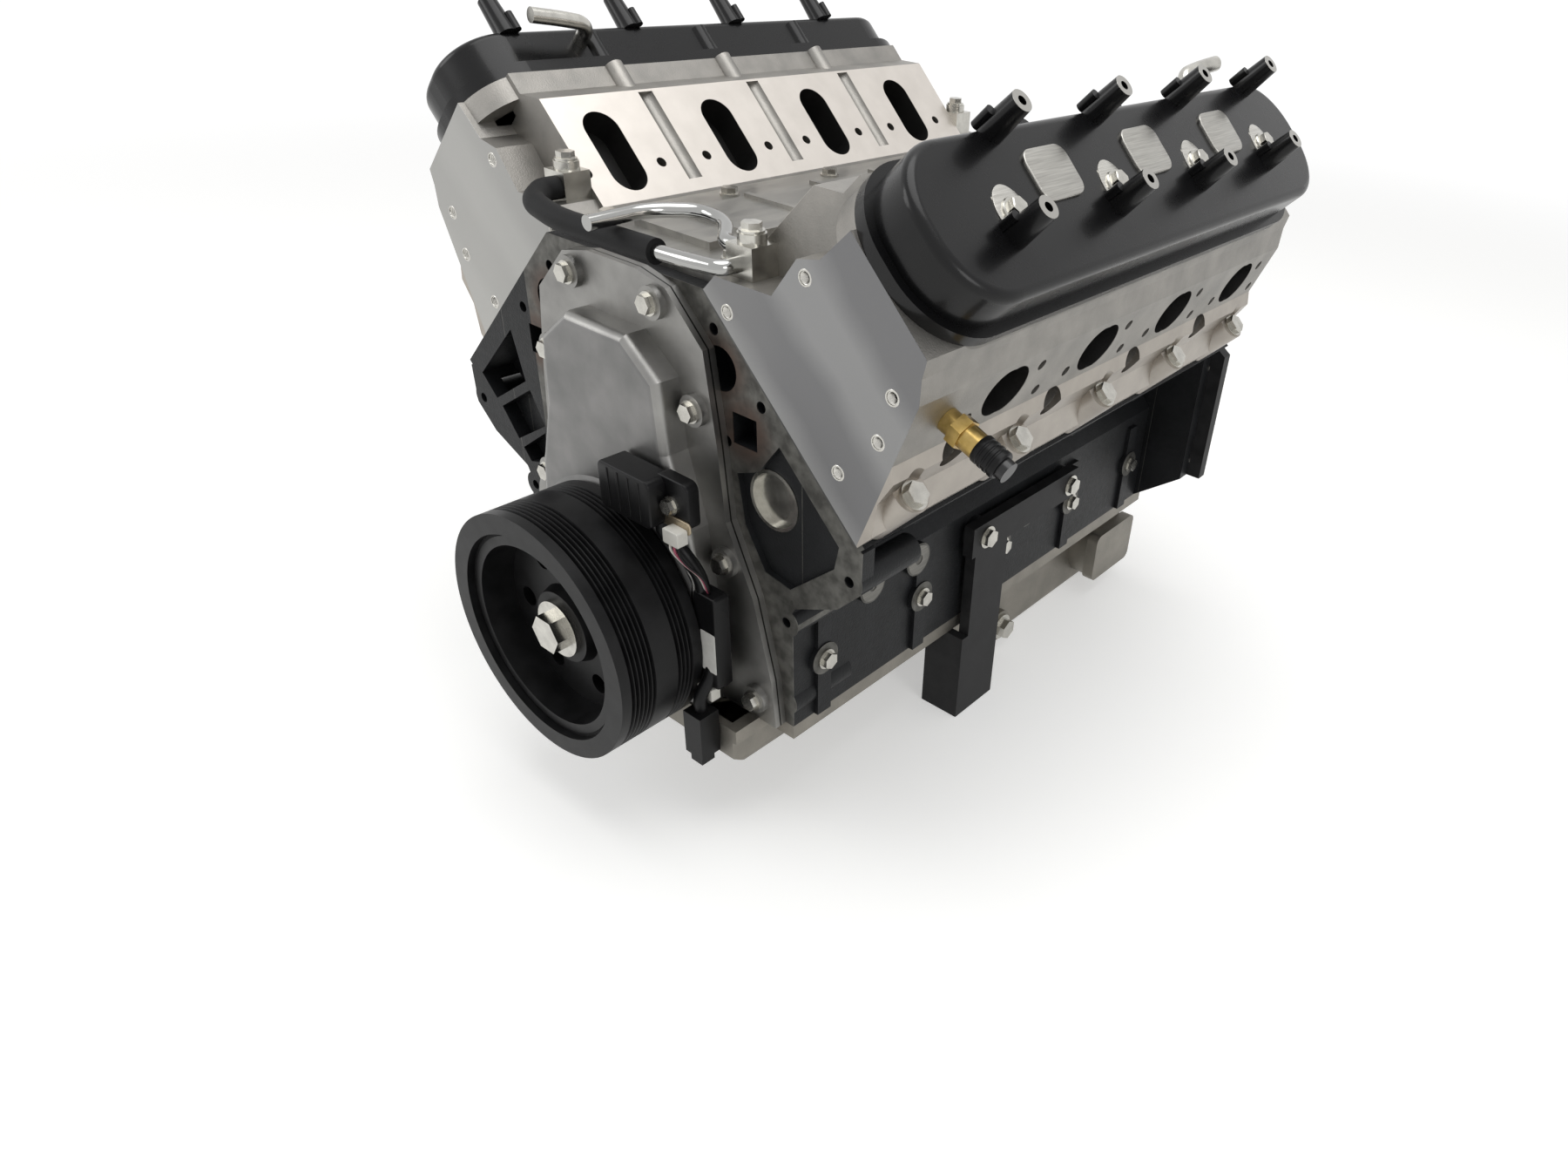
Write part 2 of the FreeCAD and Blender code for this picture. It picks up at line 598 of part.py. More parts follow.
# Pistons, wrist pins and connecting rods at the crank's rest position
pistons, pins, rods = [], [], []
for step, degrees in enumerate(throws):
    for side in (LEFT, RIGHT):
        east = round(math.sin(math.radians(degrees))) * side
        north = round(math.cos(math.radians(degrees)))
        pin_up = "(%d) * crank_throw * sqrt(0.5)" % (east + north)
        pin_out = "(%d) * crank_throw * sqrt(0.5)" % (east - north)
        wrist = "(%s + sqrt(rod_length^2 - (%s)^2))" % (pin_up, pin_out)
        y = bore_y(side, step)
        crown = bank_rod(side, "bore_radius - 0.05", "54", 0, y, "%s - 20" % wrist)
        inside = bank_rod(side, "bore_radius - 6", "40", 0, y, "%s - 21" % wrist)
        bosses = []
        for reach in (-1, 1):
            boss_at = ("%d * %s * sqrt(0.5)" % (side, wrist), "%s + %d" % (y, 14 if reach > 0 else -48),
                       "%s * sqrt(0.5)" % wrist)
            bosses.append(rod("17", "34", boss_at, REARWARD))
        pin_at = ("%d * %s * sqrt(0.5)" % (side, wrist), "%s - 34" % y, "%s * sqrt(0.5)" % wrist)
        trim = common(fuse(*bosses), bank_rod(side, "bore_radius - 3", "60", 0, y, "%s - 25" % wrist))
        pistons.append(cut(fuse(cut(crown, inside), trim), rod("12.02", "68", pin_at, REARWARD)))
        pins.append(rod("12", "60", (pin_at[0], "%s - 30" % y, pin_at[2]), REARWARD))
        ends = [("%d * %s * sqrt(0.5)" % (side, wrist), "%s * sqrt(0.5)" % wrist),
                ("%d * crank_throw" % (east * side), "%d * crank_throw" % north)]
        across = math.sin(math.radians(45)) * size("crank_throw") * (east - north)
        lean = math.degrees(math.asin(across / size("rod_length")))
        turn = leaning(45 * side).multiply(leaning(-lean * side))
        beam = put(bind(doc.addObject("Part::Box", "Beam"), Length=24, Width=14, Height="rod_length"),
                   (0, 0, 0), FreeCAD.Rotation())
        beam_at = copy_of(put(beam, (-12, -7, 0)), (ends[1][0], y, ends[1][1]), turn)
        big = rod("37", "23.4", (ends[1][0], "%s - 11.7" % y, ends[1][1]), REARWARD)
        small = rod("18", "23", (ends[0][0], "%s - 11.5" % y, ends[0][1]), REARWARD)
        rods.append(cut(fuse(beam_at, big, small),
                        rod("26.7", "30", (ends[1][0], "%s - 15" % y, ends[1][1]), REARWARD),
                        rod("12.02", "30", (ends[0][0], "%s - 15" % y, ends[0][1]), REARWARD)))
node("pistons", *pistons)
node("wrist_pins", *pins)
node("connecting_rods", *rods)

# Cylinder head casting, in the bank's frame
deck = "(deck_height + gasket_thick)"
half_length = "head_length / 2"
front_section = [("-head_inner", deck), ("head_outer", deck), ("head_outer", deck + " + 16"), ("ledge_out + 13", "ledge_height - 27"),
                 ("ledge_out + 9", "ledge_height - 7"), ("ledge_out", "ledge_height"), ("face_out", "face_height"),
                 ("6", "rail_height - 10"), ("0", "rail_height"),
                 ("-79", "rail_height"), ("-80", "333"), ("-90", "318"), ("-86", "285"), ("-head_inner", deck + " + 15")]
intake_section = [("-head_inner - 2", deck), ("-70", deck), ("-70", "rail_height"), ("-rail_inner", "rail_height"),
                  ("-rail_inner", "346"), ("-intake_plane", "intake_top"), ("-intake_plane", deck + " + 6")]
core = prism(front_section, "-head_length / 2", "head_length")
bolt_bosses = [rod("14", "bolt_seat", ("bolt_line - 3", local_y(step, "-bore_pitch / 2"), deck)) for step in range(5)]
rise, run = size("face_height") - size("ledge_height"), size("ledge_out") - size("face_out")
face_out = facing(rise, 0, run)
face_in = facing(-rise, 0, -run)
intake_body = prism(intake_section, "-head_length / 2 + intake_end", "head_length - 2 * intake_end")
rail = rounded(block(("-rail_inner", "-cover_length / 2", "rail_height - 18"),
                     ("rail_inner + rail_outer", "cover_length", "18")), size("rail_corner"), upright)
tilt = leaning(-size("valve_tilt"))
bulges = [rod("8", "rail_height - 328", ("-rail_inner + 1", local_y(step, "bore_pitch / 2 + intake_shift"), "328"))
          for step in range(3)]
casting, cuts = [core, intake_body, rail] + bolt_bosses + bulges, []
cuts.append(rounded(block(("-rail_inner + 12", "-cover_length / 2 + 12", "rail_height - 22"),
                          ("rail_inner + rail_outer - 24", "cover_length - 24", "24")), size("rail_corner") - 12, upright))
for step in range(4):
    intake_y = local_y(step, "intake_shift")
    for y, low in ((intake_y, "port_height - port_half + port_width / 2"), (intake_y, "port_height + port_half - port_width / 2")):
        cuts.append(rod("port_width / 2", "port_depth + 1", ("-intake_plane - 1", y, low), facing(1, 0, 0)))
    cuts.append(block(("-intake_plane - 1", "%s - port_width / 2" % intake_y, "port_height - port_half + port_width / 2"),
                      ("port_depth + 1", "port_width", "2 * port_half - port_width")))
    out_y = local_y(step, "exhaust_shift")
    for slide in (-4, 4):
        place = ("exhaust_out + 18", "%s + %d" % (out_y, slide), "exhaust_height + 18 * %.6f" % (run / rise))
        cuts.append(rod("exhaust_radius", "46", place, face_in))
    for along, up in ((-34, -9), (34, 9), (44, -13)):
        place = ("exhaust_out + 8 - %.6f" % (up * run / rise), "%s + %d" % (out_y, along),
                 "exhaust_height + %.6f" % (8 * run / rise + up))
        cuts.append(rod("bolt_small", "24", place, face_in))
    for along, up in ((-33.5, -14), (33.5, -14)):
        cuts.append(rod("bolt_small", "18", ("-intake_plane - 2", "%s + %.1f" % (intake_y, along), "port_height + %d" % up),
                        facing(1, 0, 0)))
    plug_at = ("ledge_out + 22", local_y(step, "-plug_shift"), "ledge_height")
    cuts.append(rod("11", "34", plug_at, facing(-0.9, 0, -0.44)))
    cuts.append(rod("bore_radius - 4", "9", (0, local_y(step), deck + " - 1")))
    for shift, radius in (("-valve_shift", "intake_valve"), ("valve_shift", "exhaust_valve")):
        pocket = fuse(rod("stem_radius + 0.05", "150", (0, 0, "-5")), rod("%s + 1" % radius, "21", (0, 0, "-6")),
                      rod("spring_radius + 0.6", "60", (0, 0, "spring_seat")))
        cuts.append(copy_of(pocket, ("-5.5", local_y(step, shift), deck + " + 3"), tilt))
        cuts.append(rod("rod_hole", "150", ("-rod_line", local_y(step, shift), deck + " - 1")))
for step in range(5):
    bolt_y = local_y(step, "-bore_pitch / 2")
    cuts.append(rod("bolt_medium + 0.6", "60", ("bolt_line", bolt_y, deck + " - 1")))
    cuts.append(rod("12.5", "40", ("bolt_line", bolt_y, deck + " + bolt_seat")))
for end in (-1, 1):
    for across, rise in ((-79, 316), (-99, 244), (4, 327), (19, 299), (19, 256)):
        cuts.append(rod("bolt_small", "16", (across, "%d * head_length / 2" % end, rise), facing(0, -end, 0)))
for step in range(3):
    groove_y = local_y(step, "bore_pitch / 2 + intake_shift")
    cuts.append(rod("7", "76", ("-intake_plane - 2", groove_y, "252")))
head = cut(fuse(*casting), *cuts)

# Head gasket with its bore openings
gasket = block(("-head_inner", "-head_length / 2", "deck_height"), ("head_inner + head_outer", "head_length", "gasket_thick"))
openings = [rod("bore_radius + 1", "gasket_thick + 2", (0, local_y(step), "deck_height - 1")) for step in range(4)]
openings += [rod("bolt_medium + 0.6", "gasket_thick + 2", ("bolt_line", local_y(step, "-bore_pitch / 2"), "deck_height - 1"))
             for step in range(5)]
openings += [rod("rod_hole", "gasket_thick + 2", ("-rod_line", local_y(step, shift), "deck_height - 1"))
             for step in range(4) for shift in ("-valve_shift", "valve_shift")]
gasket = cut(gasket, *openings)

# Valve cover: flanged shell with coil posts on top
cover_base = rounded(block(("-rail_inner", "-cover_length / 2", "rail_height"),
                           ("rail_inner + rail_outer", "cover_length", "cover_flange")), size("rail_corner"), upright)
cover_body = rounded(block(("-rail_inner + cover_step", "-cover_length / 2 + cover_step", "rail_height"),
                           ("rail_inner + rail_outer - 2 * cover_step", "cover_length - 2 * cover_step",
                            "cover_top - rail_height")), size("rail_corner") - size("cover_step"), upright)
cover_body = rounded(cover_body, 6.0, lambda edge: abs(edge.BoundBox.ZMin - size("cover_top")) < 0.01)
inner = "(cover_step + cover_wall)"
cover_hollow = rounded(block(("-rail_inner + %s" % inner, "-cover_length / 2 + %s" % inner, "rail_height - 1"),
                             ("rail_inner + rail_outer - 2 * %s" % inner, "cover_length - 2 * %s" % inner,
                              "cover_top - cover_wall - rail_height + 1")),
                       size("rail_corner") - size("cover_step") - size("cover_wall"), upright)
posts, post_holes = [], []
for step in range(4):
    for across, shift in (("-post_inner", "inner_shift"), ("-post_outer", "-outer_shift")):
        place = (across, local_y(step, shift), "cover_top - 3")
        posts.append(taper("post_radius + 1", "post_radius - 0.5", "post_height", place))
        posts.append(rod("3.2", "14", (place[0] + " - 6.5", place[1] + " - 6", place[2])))
        post_holes.append(rod("3", "14", (place[0], place[1], "cover_top - 3 + post_height - 13")))
for step in range(3):
    posts.append(rod("8", "cover_top - rail_height - 9", ("-rail_inner + cover_step + 3",
                                                      local_y(step, "bore_pitch / 2 + intake_shift"), "rail_height + 2")))
for step in range(4):
    bolt_at = ("-cover_bolt_line", local_y(step, "cover_bolt_shift"))
    posts.append(rod("14", "cover_top - rail_height - 3", (bolt_at[0], bolt_at[1], "rail_height + 2")))
    post_holes.append(rod("bolt_small - 0.8", "60", (bolt_at[0], bolt_at[1], "rail_height")))
    post_holes.append(rod("11", "20", (bolt_at[0], bolt_at[1], "cover_top - 5")))
breather_hole = rod("5.6", "20", ("-rail_inner - 2", "135", "rail_height + 26"), facing(1, 0, 0))
cover = cut(fuse(cut(fuse(cover_base, cover_body), cover_hollow), *posts), breather_hole, *post_holes)
cover_bolt = fuse(rod("bolt_small - 1", "24", (0, 0, "-24")), rod("8", "1.5", (0, 0, 0)),
                  put(bind(doc.addObject("Part::Prism", "Hexagon"), Circumradius="head_small", Height="bolt_cap"), (0, 0, 0)))
cover_bolts = [copy_of(cover_bolt, ("-cover_bolt_line", local_y(step, "cover_bolt_shift"), "cover_top - 5"))
               for step in range(4)]
cover_bolts = several("Part::Compound", cover_bolts)
valves, springs, rockers, pushrods, lifters, head_bolts = [], [], [], [], [], []
for step in range(4):
    for shift, radius in (("-valve_shift", "intake_valve"), ("valve_shift", "exhaust_valve")):
        y = local_y(step, shift)
        stem = fuse(rod("stem_radius", "126", (0, 0, 0)), taper(radius, "stem_radius", "11", (0, 0, "2")),
                    rod(radius, "2", (0, 0, 0)))
        valves.append(copy_of(stem, ("-5.5", y, deck + " + 3"), tilt))
        spring = cut(rod("spring_radius", "spring_height", (0, 0, "spring_seat + 0.2")),
                     rod("spring_radius - 4", "spring_height + 2", (0, 0, "spring_seat - 1")))
        springs.append(copy_of(spring, ("-5.5", y, deck + " + 3"), tilt))
        pushrods.append(rod("3.95", "rail_height + 3 - rod_line - 80.1", ("-rod_line", y, "rod_line + 80.1")))
        lifters.append(rod("10.7", "52", ("-rod_line", y, "rod_line + 28")))
        arm = prism([("-rod_line - 6", "rail_height + 3.2"), ("-34", "rail_height + 4"), ("-34", "rail_height + 14"),
                     ("-60", "rail_height + 20"), ("-rod_line - 6", "rail_height + 14")], "%s - 5.5" % y, "11")
        rockers.append(arm)
for step in range(5):
    place = ("bolt_line", local_y(step, "-bore_pitch / 2"), deck + " + bolt_seat")
    head_bolts.append(bolt("bolt_medium", "head_medium", "bolt_seat + 64", place, FreeCAD.Rotation()))

for side, name in ((LEFT, "left"), (RIGHT, "right")):
    node("cylinder_head_" + name, on_bank(head, side))
    node("head_gasket_" + name, on_bank(gasket, side))
    node("valve_cover_" + name, on_bank(cover, side))
for name, group in (("valve_cover_bolts", [cover_bolts]), ("valves", valves), ("valve_springs", springs),
                    ("rocker_arms", rockers), ("pushrods", pushrods), ("lifters", lifters), ("head_bolts", head_bolts)):
    one_bank = several("Part::Compound", group)
    node(name, on_bank(one_bank, LEFT), on_bank(one_bank, RIGHT))

# Breather tubes out of the covers' valley sides
height = size("rail_height") + 26
wall_at = -size("rail_inner") + size("cover_step")
tube = bent_bar([(wall_at + 3.5, 135, height), (wall_at - 20, 135, height), (wall_at - 22, 158, height + 4),
                 (wall_at - 22, 182, height + 8)], 5.5, 0.45)
node("breather_tube_left", on_bank(tube, LEFT))
node("breather_tube_right", on_bank(tube, RIGHT))

# Front cover: flange, hollow raised body and seal boss
cover_line = [("142", "-skirt_depth"), ("138", "-20"), ("122", "44"), ("98", "96"), ("93", "150"), ("84", "214"),
              ("52", "246"), ("24", "252")]
flange_plate = prism(mirrored(cover_line), "%s - front_flange" % front, "front_flange")
raised_line = [("86", "-skirt_depth"), ("86", "40"), ("80", "88"), ("64", "140"), ("60", "190"), ("30", "214")]
raised = prism(mirrored(raised_line), "%s - front_depth" % front, "front_depth")
raised = rounded(raised, 7.0, lambda edge: abs(edge.BoundBox.YMax + size("block_length") + size("front_depth")) < 0.01)
inner_line = [("81", "-skirt_depth - 1"), ("81", "38"), ("75", "86"), ("59", "138"), ("55", "186"), ("28", "209")]
hollow = prism(mirrored(inner_line), "%s - front_depth + front_wall" % front, "front_depth")
dome = common(taper("front_dome", "front_dome - 8", "3", (0, "%s - front_depth" % front, 0), FORWARD),
              block(("-84", "%s - front_depth - 4" % front, "-skirt_depth"), (168, 5, "skirt_depth + front_dome")))
boss = rod("front_boss", "6 + front_wall", (0, "%s - front_depth - 6" % front, 0), REARWARD)
front_points = [("41.7", "234.7"), ("75.3", "172"), ("98", "66"), ("124", "-40")]
lugs = [rod("11", "front_flange + 5", ("%d * %s" % (side, x), "%s - front_flange - 5" % front, z), REARWARD)
        for side in (LEFT, RIGHT) for x, z in front_points]
through = [rod("bolt_small + 0.1", "front_flange + 7", ("%d * %s" % (side, x), "%s - front_flange - 6" % front, z), REARWARD)
           for side in (LEFT, RIGHT) for x, z in front_points]
through.append(rod("front_boss - 6", "20", (0, "%s - front_depth - 7" % front, 0), REARWARD))
node("front_cover", cut(fuse(flange_plate, raised, dome, boss, *lugs), hollow, *through))
node("front_cover_bolts", *[bolt("bolt_small", "head_small", "30", ("%d * %s" % (side, x), "%s - front_flange - 5" % front, z),
                                 FORWARD) for side in (LEFT, RIGHT) for x, z in front_points])
seal = cut(rod("front_boss - 6", "seal_width", (0, "%s - front_depth - 6" % front, 0), REARWARD),
           rod("damper_hub - 8 + fit_gap", "seal_width + 2", (0, "%s - front_depth - 7" % front, 0), REARWARD))
node("front_crank_seal", seal)

# Vibration damper: hub with web and inner ring, rubber, ribbed inertia ring
nose = "-damper_front"
ring_in = "(damper_radius - damper_ring)"
rubber_in = "(%s - damper_rubber)" % ring_in
tail = "%s - 26.3" % front
hub = turned([("snout_radius + 0.01", tail), ("damper_hub - 8", tail), ("damper_hub - 8", nose + " + damper_length - 16"),
              ("damper_hub", nose + " + damper_length - 20"), ("damper_hub", nose + " + 42"),
              ("%s - 8" % rubber_in, nose + " + 42"), ("%s - 8" % rubber_in, nose + " + damper_length - 6"),
              (rubber_in, nose + " + damper_length - 6"), (rubber_in, nose + " + 5"), ("%s - 7" % rubber_in, nose + " + 5"),
              ("%s - 9" % rubber_in, nose + " + 42 - damper_web"), ("damper_hub", nose + " + 42 - damper_web"),
              ("damper_hub - 3", nose + " + 22"), ("snout_radius + 0.01", nose + " + 22")])
windows = [rod("8", "30", ("50 * %.6f" % math.cos(math.radians(60 * i)), nose + " + 20",
                           "50 * %.6f" % math.sin(math.radians(60 * i))), REARWARD) for i in range(6)]
node("damper_hub", cut(hub, *windows))
node("damper_rubber_ring", turned([(rubber_in, nose + " + 6"), (ring_in, nose + " + 6"),
                                   (ring_in, nose + " + damper_length - 6"), (rubber_in, nose + " + damper_length - 6")]))
groove_points = [(ring_in, nose), ("damper_radius", nose)]
for start in ["8 + %.1f * 3.6" % i for i in range(6)] + ["damper_length - 22 + %.1f * 3.6" % i for i in range(4)]:
    groove_points += [("damper_radius", "%s + %s" % (nose, start)), ("damper_radius - 2.6", "%s + %s + 1.2" % (nose, start)),
                      ("damper_radius - 2.6", "%s + %s + 1.8" % (nose, start)), ("damper_radius", "%s + %s + 3" % (nose, start))]
groove_points += [("damper_radius", nose + " + damper_length"), (ring_in, nose + " + damper_length")]
node("damper_inertia_ring", turned(groove_points))
damper_bolt = fuse(bind(doc.addObject("Part::Prism", "Hexagon"), Circumradius="15", Height="10"),
                   rod("22", "4", (0, 0, "-4")), rod("7.9", "44", (0, 0, "-44")))
node("damper_bolt", copy_of(damper_bolt, (0, nose + " + 18", 0), FORWARD))

# Rear cover and seal inside the bell flange
rear = cut(rod("rear_cover_radius", "rear_cover_thick", (0, "-14", 0), REARWARD),
           rod("flange_radius + 8", "rear_cover_thick + 2", (0, "-15", 0), REARWARD))
trim_box = block(("-90", "-16", "-skirt_depth + 0.2"), (180, 20, 160))
node("rear_cover", common(rear, trim_box))
node("rear_crank_seal", cut(rod("flange_radius + 8", "seal_width", (0, "-13", 0), REARWARD),
                            rod("flange_radius + fit_gap", "seal_width + 2", (0, "-14", 0), REARWARD)))

# Valley cover plate between the banks
valley_z = "(deck_height + deck_inner) * sqrt(0.5)"
plate = rounded(block(("-valley_cover_half", "-block_length + 12", valley_z),
                      ("2 * valley_cover_half", "block_length - 24", "valley_cover_thick")), 8.0, upright)
raised_plate = block(("-38", "-block_length + 40", "%s + valley_cover_thick - 1" % valley_z), (76, "block_length - 90", 6))
ribs = [block(("-36", "-block_length + 70 + %d * 70" % i, "%s + valley_cover_thick" % valley_z), (72, 5, 8)) for i in range(6)]
valley_rows = ["-block_length + 38 + %d * 112" % row for row in range(5)]
valley_holes = [rod("bolt_small + 0.1", "20", ("%d * valley_bolt_x" % side, y, valley_z + " - 1"))
                for side in (LEFT, RIGHT) for y in valley_rows]
valley_holes.append(rod("10", "20", ("52", "-70", valley_z + " - 1")))
node("valley_cover", cut(fuse(plate, raised_plate, *ribs), *valley_holes))
node("valley_cover_bolts", *[bolt("bolt_small - 0.1", "head_small", "20", ("%d * valley_bolt_x" % side, y,
                                  valley_z + " + valley_cover_thick"), FreeCAD.Rotation())
                             for side in (LEFT, RIGHT) for y in valley_rows])
node("oil_pressure_sensor", fuse(rod("9.8", "10", (52, -70, valley_z)), rod("13", "14", (52, -70, valley_z + " + 15")),
                                 rod("11", "30", (52, -70, valley_z + " + 10")), rod("7", "44", (52, -70, valley_z + " + 10"))))

# Oil pan: rail, shallow front and deep rear sump, open on top
pan_top = "-skirt_depth"
pan_front = "(-block_length - front_depth - 2)"
rail_plate = fuse(block(("-skirt_half", "-block_length", "-skirt_depth - pan_rail"),
                        ("2 * skirt_half", "block_length", "pan_rail")),
                  block(("-124", pan_front, "-skirt_depth - pan_rail"), (248, "front_depth + 4", "pan_rail")))
side_line = [(pan_front, pan_top), (pan_front, "-skirt_depth - pan_depth + 14"),
             (pan_front + " + 18", "-skirt_depth - pan_depth"), ("-sump_front - 20", "-skirt_depth - pan_depth - 4"),
             ("-sump_front + 24", "-sump_depth"), ("-34", "-sump_depth"), ("-8", "-sump_depth + 30"), ("-8", pan_top)]
inner_side = [(pan_front + " + 6", "-skirt_depth + 1"), (pan_front + " + 6", "-skirt_depth - pan_depth + 17"),
              (pan_front + " + 21", "-skirt_depth - pan_depth + pan_wall"),
              ("-sump_front - 17", "-skirt_depth - pan_depth + pan_wall - 4"), ("-sump_front + 28", "-sump_depth + pan_wall"),
              ("-37", "-sump_depth + pan_wall"), ("-14", "-sump_depth + 33"), ("-14", "-skirt_depth + 1")]


def sideways(points, x, length):
    turn = FreeCAD.Rotation(FreeCAD.Vector(0, 1, 0), FreeCAD.Vector(0, 0, 1), FreeCAD.Vector(1, 0, 0), "ZXY")
    return extrude(outline(points, turn, (x, 0, 0)), length, (1, 0, 0))


pan_body = rounded(sideways(side_line, "-pan_half + 12", "2 * pan_half - 24"), 10.0,
                   lambda edge: edge.BoundBox.ZMax < -size("skirt_depth") - size("pan_depth") + 2)
pan_inner = sideways(inner_side, "-pan_half + 12 + pan_wall", "2 * (pan_half - 12 - pan_wall)")
pan_ribs = [block(("%d * (pan_half - 8) - 4" % side, "-block_length + %d" % y, "-skirt_depth - pan_rail - 22"), (8, 8, 24))
            for side in (LEFT, RIGHT) for y in (70, 130, 250)]
filter_pad = rod("38", "26", ("pan_half - 18", "-46", "-112"), facing(1, 0, 0))
drain_boss = rod("16", "12", ("pan_half - 18", "-215", "-140"), facing(1, 0, 0))
pan = cut(fuse(rail_plate, pan_body, filter_pad, drain_boss, *pan_ribs), pan_inner,
          rod("9", "40", ("pan_half - 34", "-215", "-140"), facing(1, 0, 0)))
node("oil_pan", pan)
node("drain_plug", fuse(rod("8.9", "14", ("pan_half - 20", "-215", "-140"), facing(1, 0, 0)),
                        rod("13", "3", ("pan_half - 6", "-215", "-140"), facing(1, 0, 0)),
                        put(bind(doc.addObject("Part::Prism", "Hexagon"), Circumradius="10", Height="9"),
                            ("pan_half - 4", "-215", "-140"), facing(1, 0, 0))))
node("oil_filter_adapter_cover", rounded(block(("pan_half + 8", "-84", "-139"), (12, 76, 54)), 8.0,
                                         lambda edge: edge.BoundBox.XLength > 11))

# Core plugs pressed into the right front cup and the left rear one
node("core_plugs", *[cut(rod("cup_radius", "8", ("%d * cup_x" % side, y, "cup_z"), REARWARD),
                         rod("cup_radius - 2.5", "6", ("%d * cup_x" % side, "%s + %d" % (y, step), "cup_z"), REARWARD))
                     for side, y, step in ((RIGHT, "-block_length + 4", -1), (LEFT, "-12", 3))])

# Transport stands: a bar bolted to the block's side, a pillar under it and a plate turned inwards
stand_bolt_y = ("-stand_y - 9", "-stand_y + 120")
for side, name in ((LEFT, "left"), (RIGHT, "right")):
    inner_face = "(skirt_half + 5)"
    low_x = inner_face if side == RIGHT else "-%s - stand_thick" % inner_face
    bar = block((low_x, "-stand_y - 28", "6"), ("stand_thick", "160", "28"))
    pillar = block((low_x, "-stand_y - stand_pillar / 2", "-sump_depth"), ("stand_thick", "stand_pillar", "sump_depth + 20"))
    wing_x = "pan_half - 6" if side == RIGHT else "-%s - stand_thick" % inner_face
    wing = block((wing_x, "-stand_y - stand_pillar / 2 - 8", "-sump_depth"),
                 ("%s + stand_thick - pan_half + 6" % inner_face, "8", "sump_depth - skirt_depth - pan_rail - 2"))
    holes = [rod("bolt_medium + 0.1", "40", ("%d * (skirt_half - 10)" % side, y, "20"), facing(side, 0, 0))
             for y in stand_bolt_y]
    node("mount_stand_" + name, cut(fuse(bar, pillar, wing), *holes))
node("stand_bolts", *[bolt("bolt_medium", "head_medium", "stand_thick + 14",
                           ("%d * (skirt_half + 5 + stand_thick)" % side, y, "20"), facing(side, 0, 0))
                      for side in (LEFT, RIGHT) for y in stand_bolt_y])

# Rear support plate on the bell flange, open around the crank flange
plate_line = mirrored([("plate_half", "-bell_low"), ("plate_half", "107"), ("plate_half - 60", "150")])
rear_points = [("(plate_half - 18)", "92"), ("(plate_half - 18)", "-8")]
rear_plate = cut(prism(plate_line, 0, "plate_thick"), rod("rear_cover_radius + 22", "30", (0, -5, 0), REARWARD),
                 *[rod("bolt_medium + 0.1", "30", ("%d * %s" % (side, x), -5, z), REARWARD)
                   for side in (LEFT, RIGHT) for x, z in rear_points])
node("rear_stand_plate", rear_plate)
node("rear_plate_bolts", *[bolt("bolt_medium", "head_medium", "plate_thick - 0.2", ("%d * %s" % (side, x), "plate_thick", z),
                                REARWARD) for side in (LEFT, RIGHT) for x, z in rear_points])

# Steam vents at the head corners, their pipe loop and the cross hose
notch_z = "((head_inner + 251) * sqrt(0.5) + 0.05)"
vent_places = [(side, end) for side in (LEFT, RIGHT) for end in (-1, 1)]


def vent_place(side, end):
    return ("%d * 106" % side, bank_y(side, "%d * (head_length / 2 - 19)" % end), notch_z)


vents, vent_bolts = [], []
for side, end in vent_places:
    x, y, z = vent_place(side, end)
    vents.append(cut(fuse(block(("%s - 11" % x, "%s - 11" % y, z), (22, 22, 20)), rod("9", "26", (x, y, z))),
                     rod("4", "30", (x, y, "%s - 1" % z))))
    vent_bolts.append(bolt("3.9", "head_small", "25.8", (x, y, "%s + 26" % z), FreeCAD.Rotation()))
node("vent_blocks", *vents)
node("vent_block_bolts", *vent_bolts)
vent_z = (size("head_inner") + 251) * math.sqrt(0.5) + 10
vent_y = -(size("rear_main") + 2 * size("bore_pitch")) - size("bank_offset") / 2 - size("head_length") / 2 + 19
loop_pipe = bent_bar([(94.9, vent_y, vent_z + 5), (82, vent_y, vent_z + 5), (62, vent_y + 20, vent_z + 9),
                      (36, vent_y + 22, vent_z + 10.5), (16, vent_y - 4, vent_z + 11), (16, vent_y - 50, vent_z + 9.8)],
                     4.8, 0.42)
cross_pipe = bent_bar([(104, vent_y - 11, vent_z - 2), (104, vent_y - 24, vent_z - 2), (80, vent_y - 28, vent_z - 2),
                       (52, vent_y - 28, vent_z - 3)], 4.8, 0.42)
node("steam_pipe", loop_pipe, cross_pipe)
hose = bent_bar([(52.2 - 0.4, vent_y - 28, vent_z - 3), (10, vent_y - 28, vent_z - 4), (-50, vent_y - 26, vent_z - 5),
                 (-88, vent_y - 18, vent_z - 3), (-104, vent_y + 1, vent_z - 1), (-104, vent_y + 13, vent_z - 1)], 8, 0.42)
node("steam_hose", hose)

# Temperature sensor in the front of the right head's exhaust face
sensor_y = "-head_length / 2 + 38"
brass = fuse(rod("8", "14", (0, 0, 0.05)), put(bind(doc.addObject("Part::Prism", "Hexagon"), Circumradius="11", Height="8"),
                                              (0, 0, "8")), rod("8.5", "18", (0, 0, "14")), rod("7", "20", (0, 0, "30")))
node("coolant_temperature_sensor", on_bank(copy_of(brass, ("exhaust_out + 0.05", sensor_y, "exhaust_height"), face_out), RIGHT))

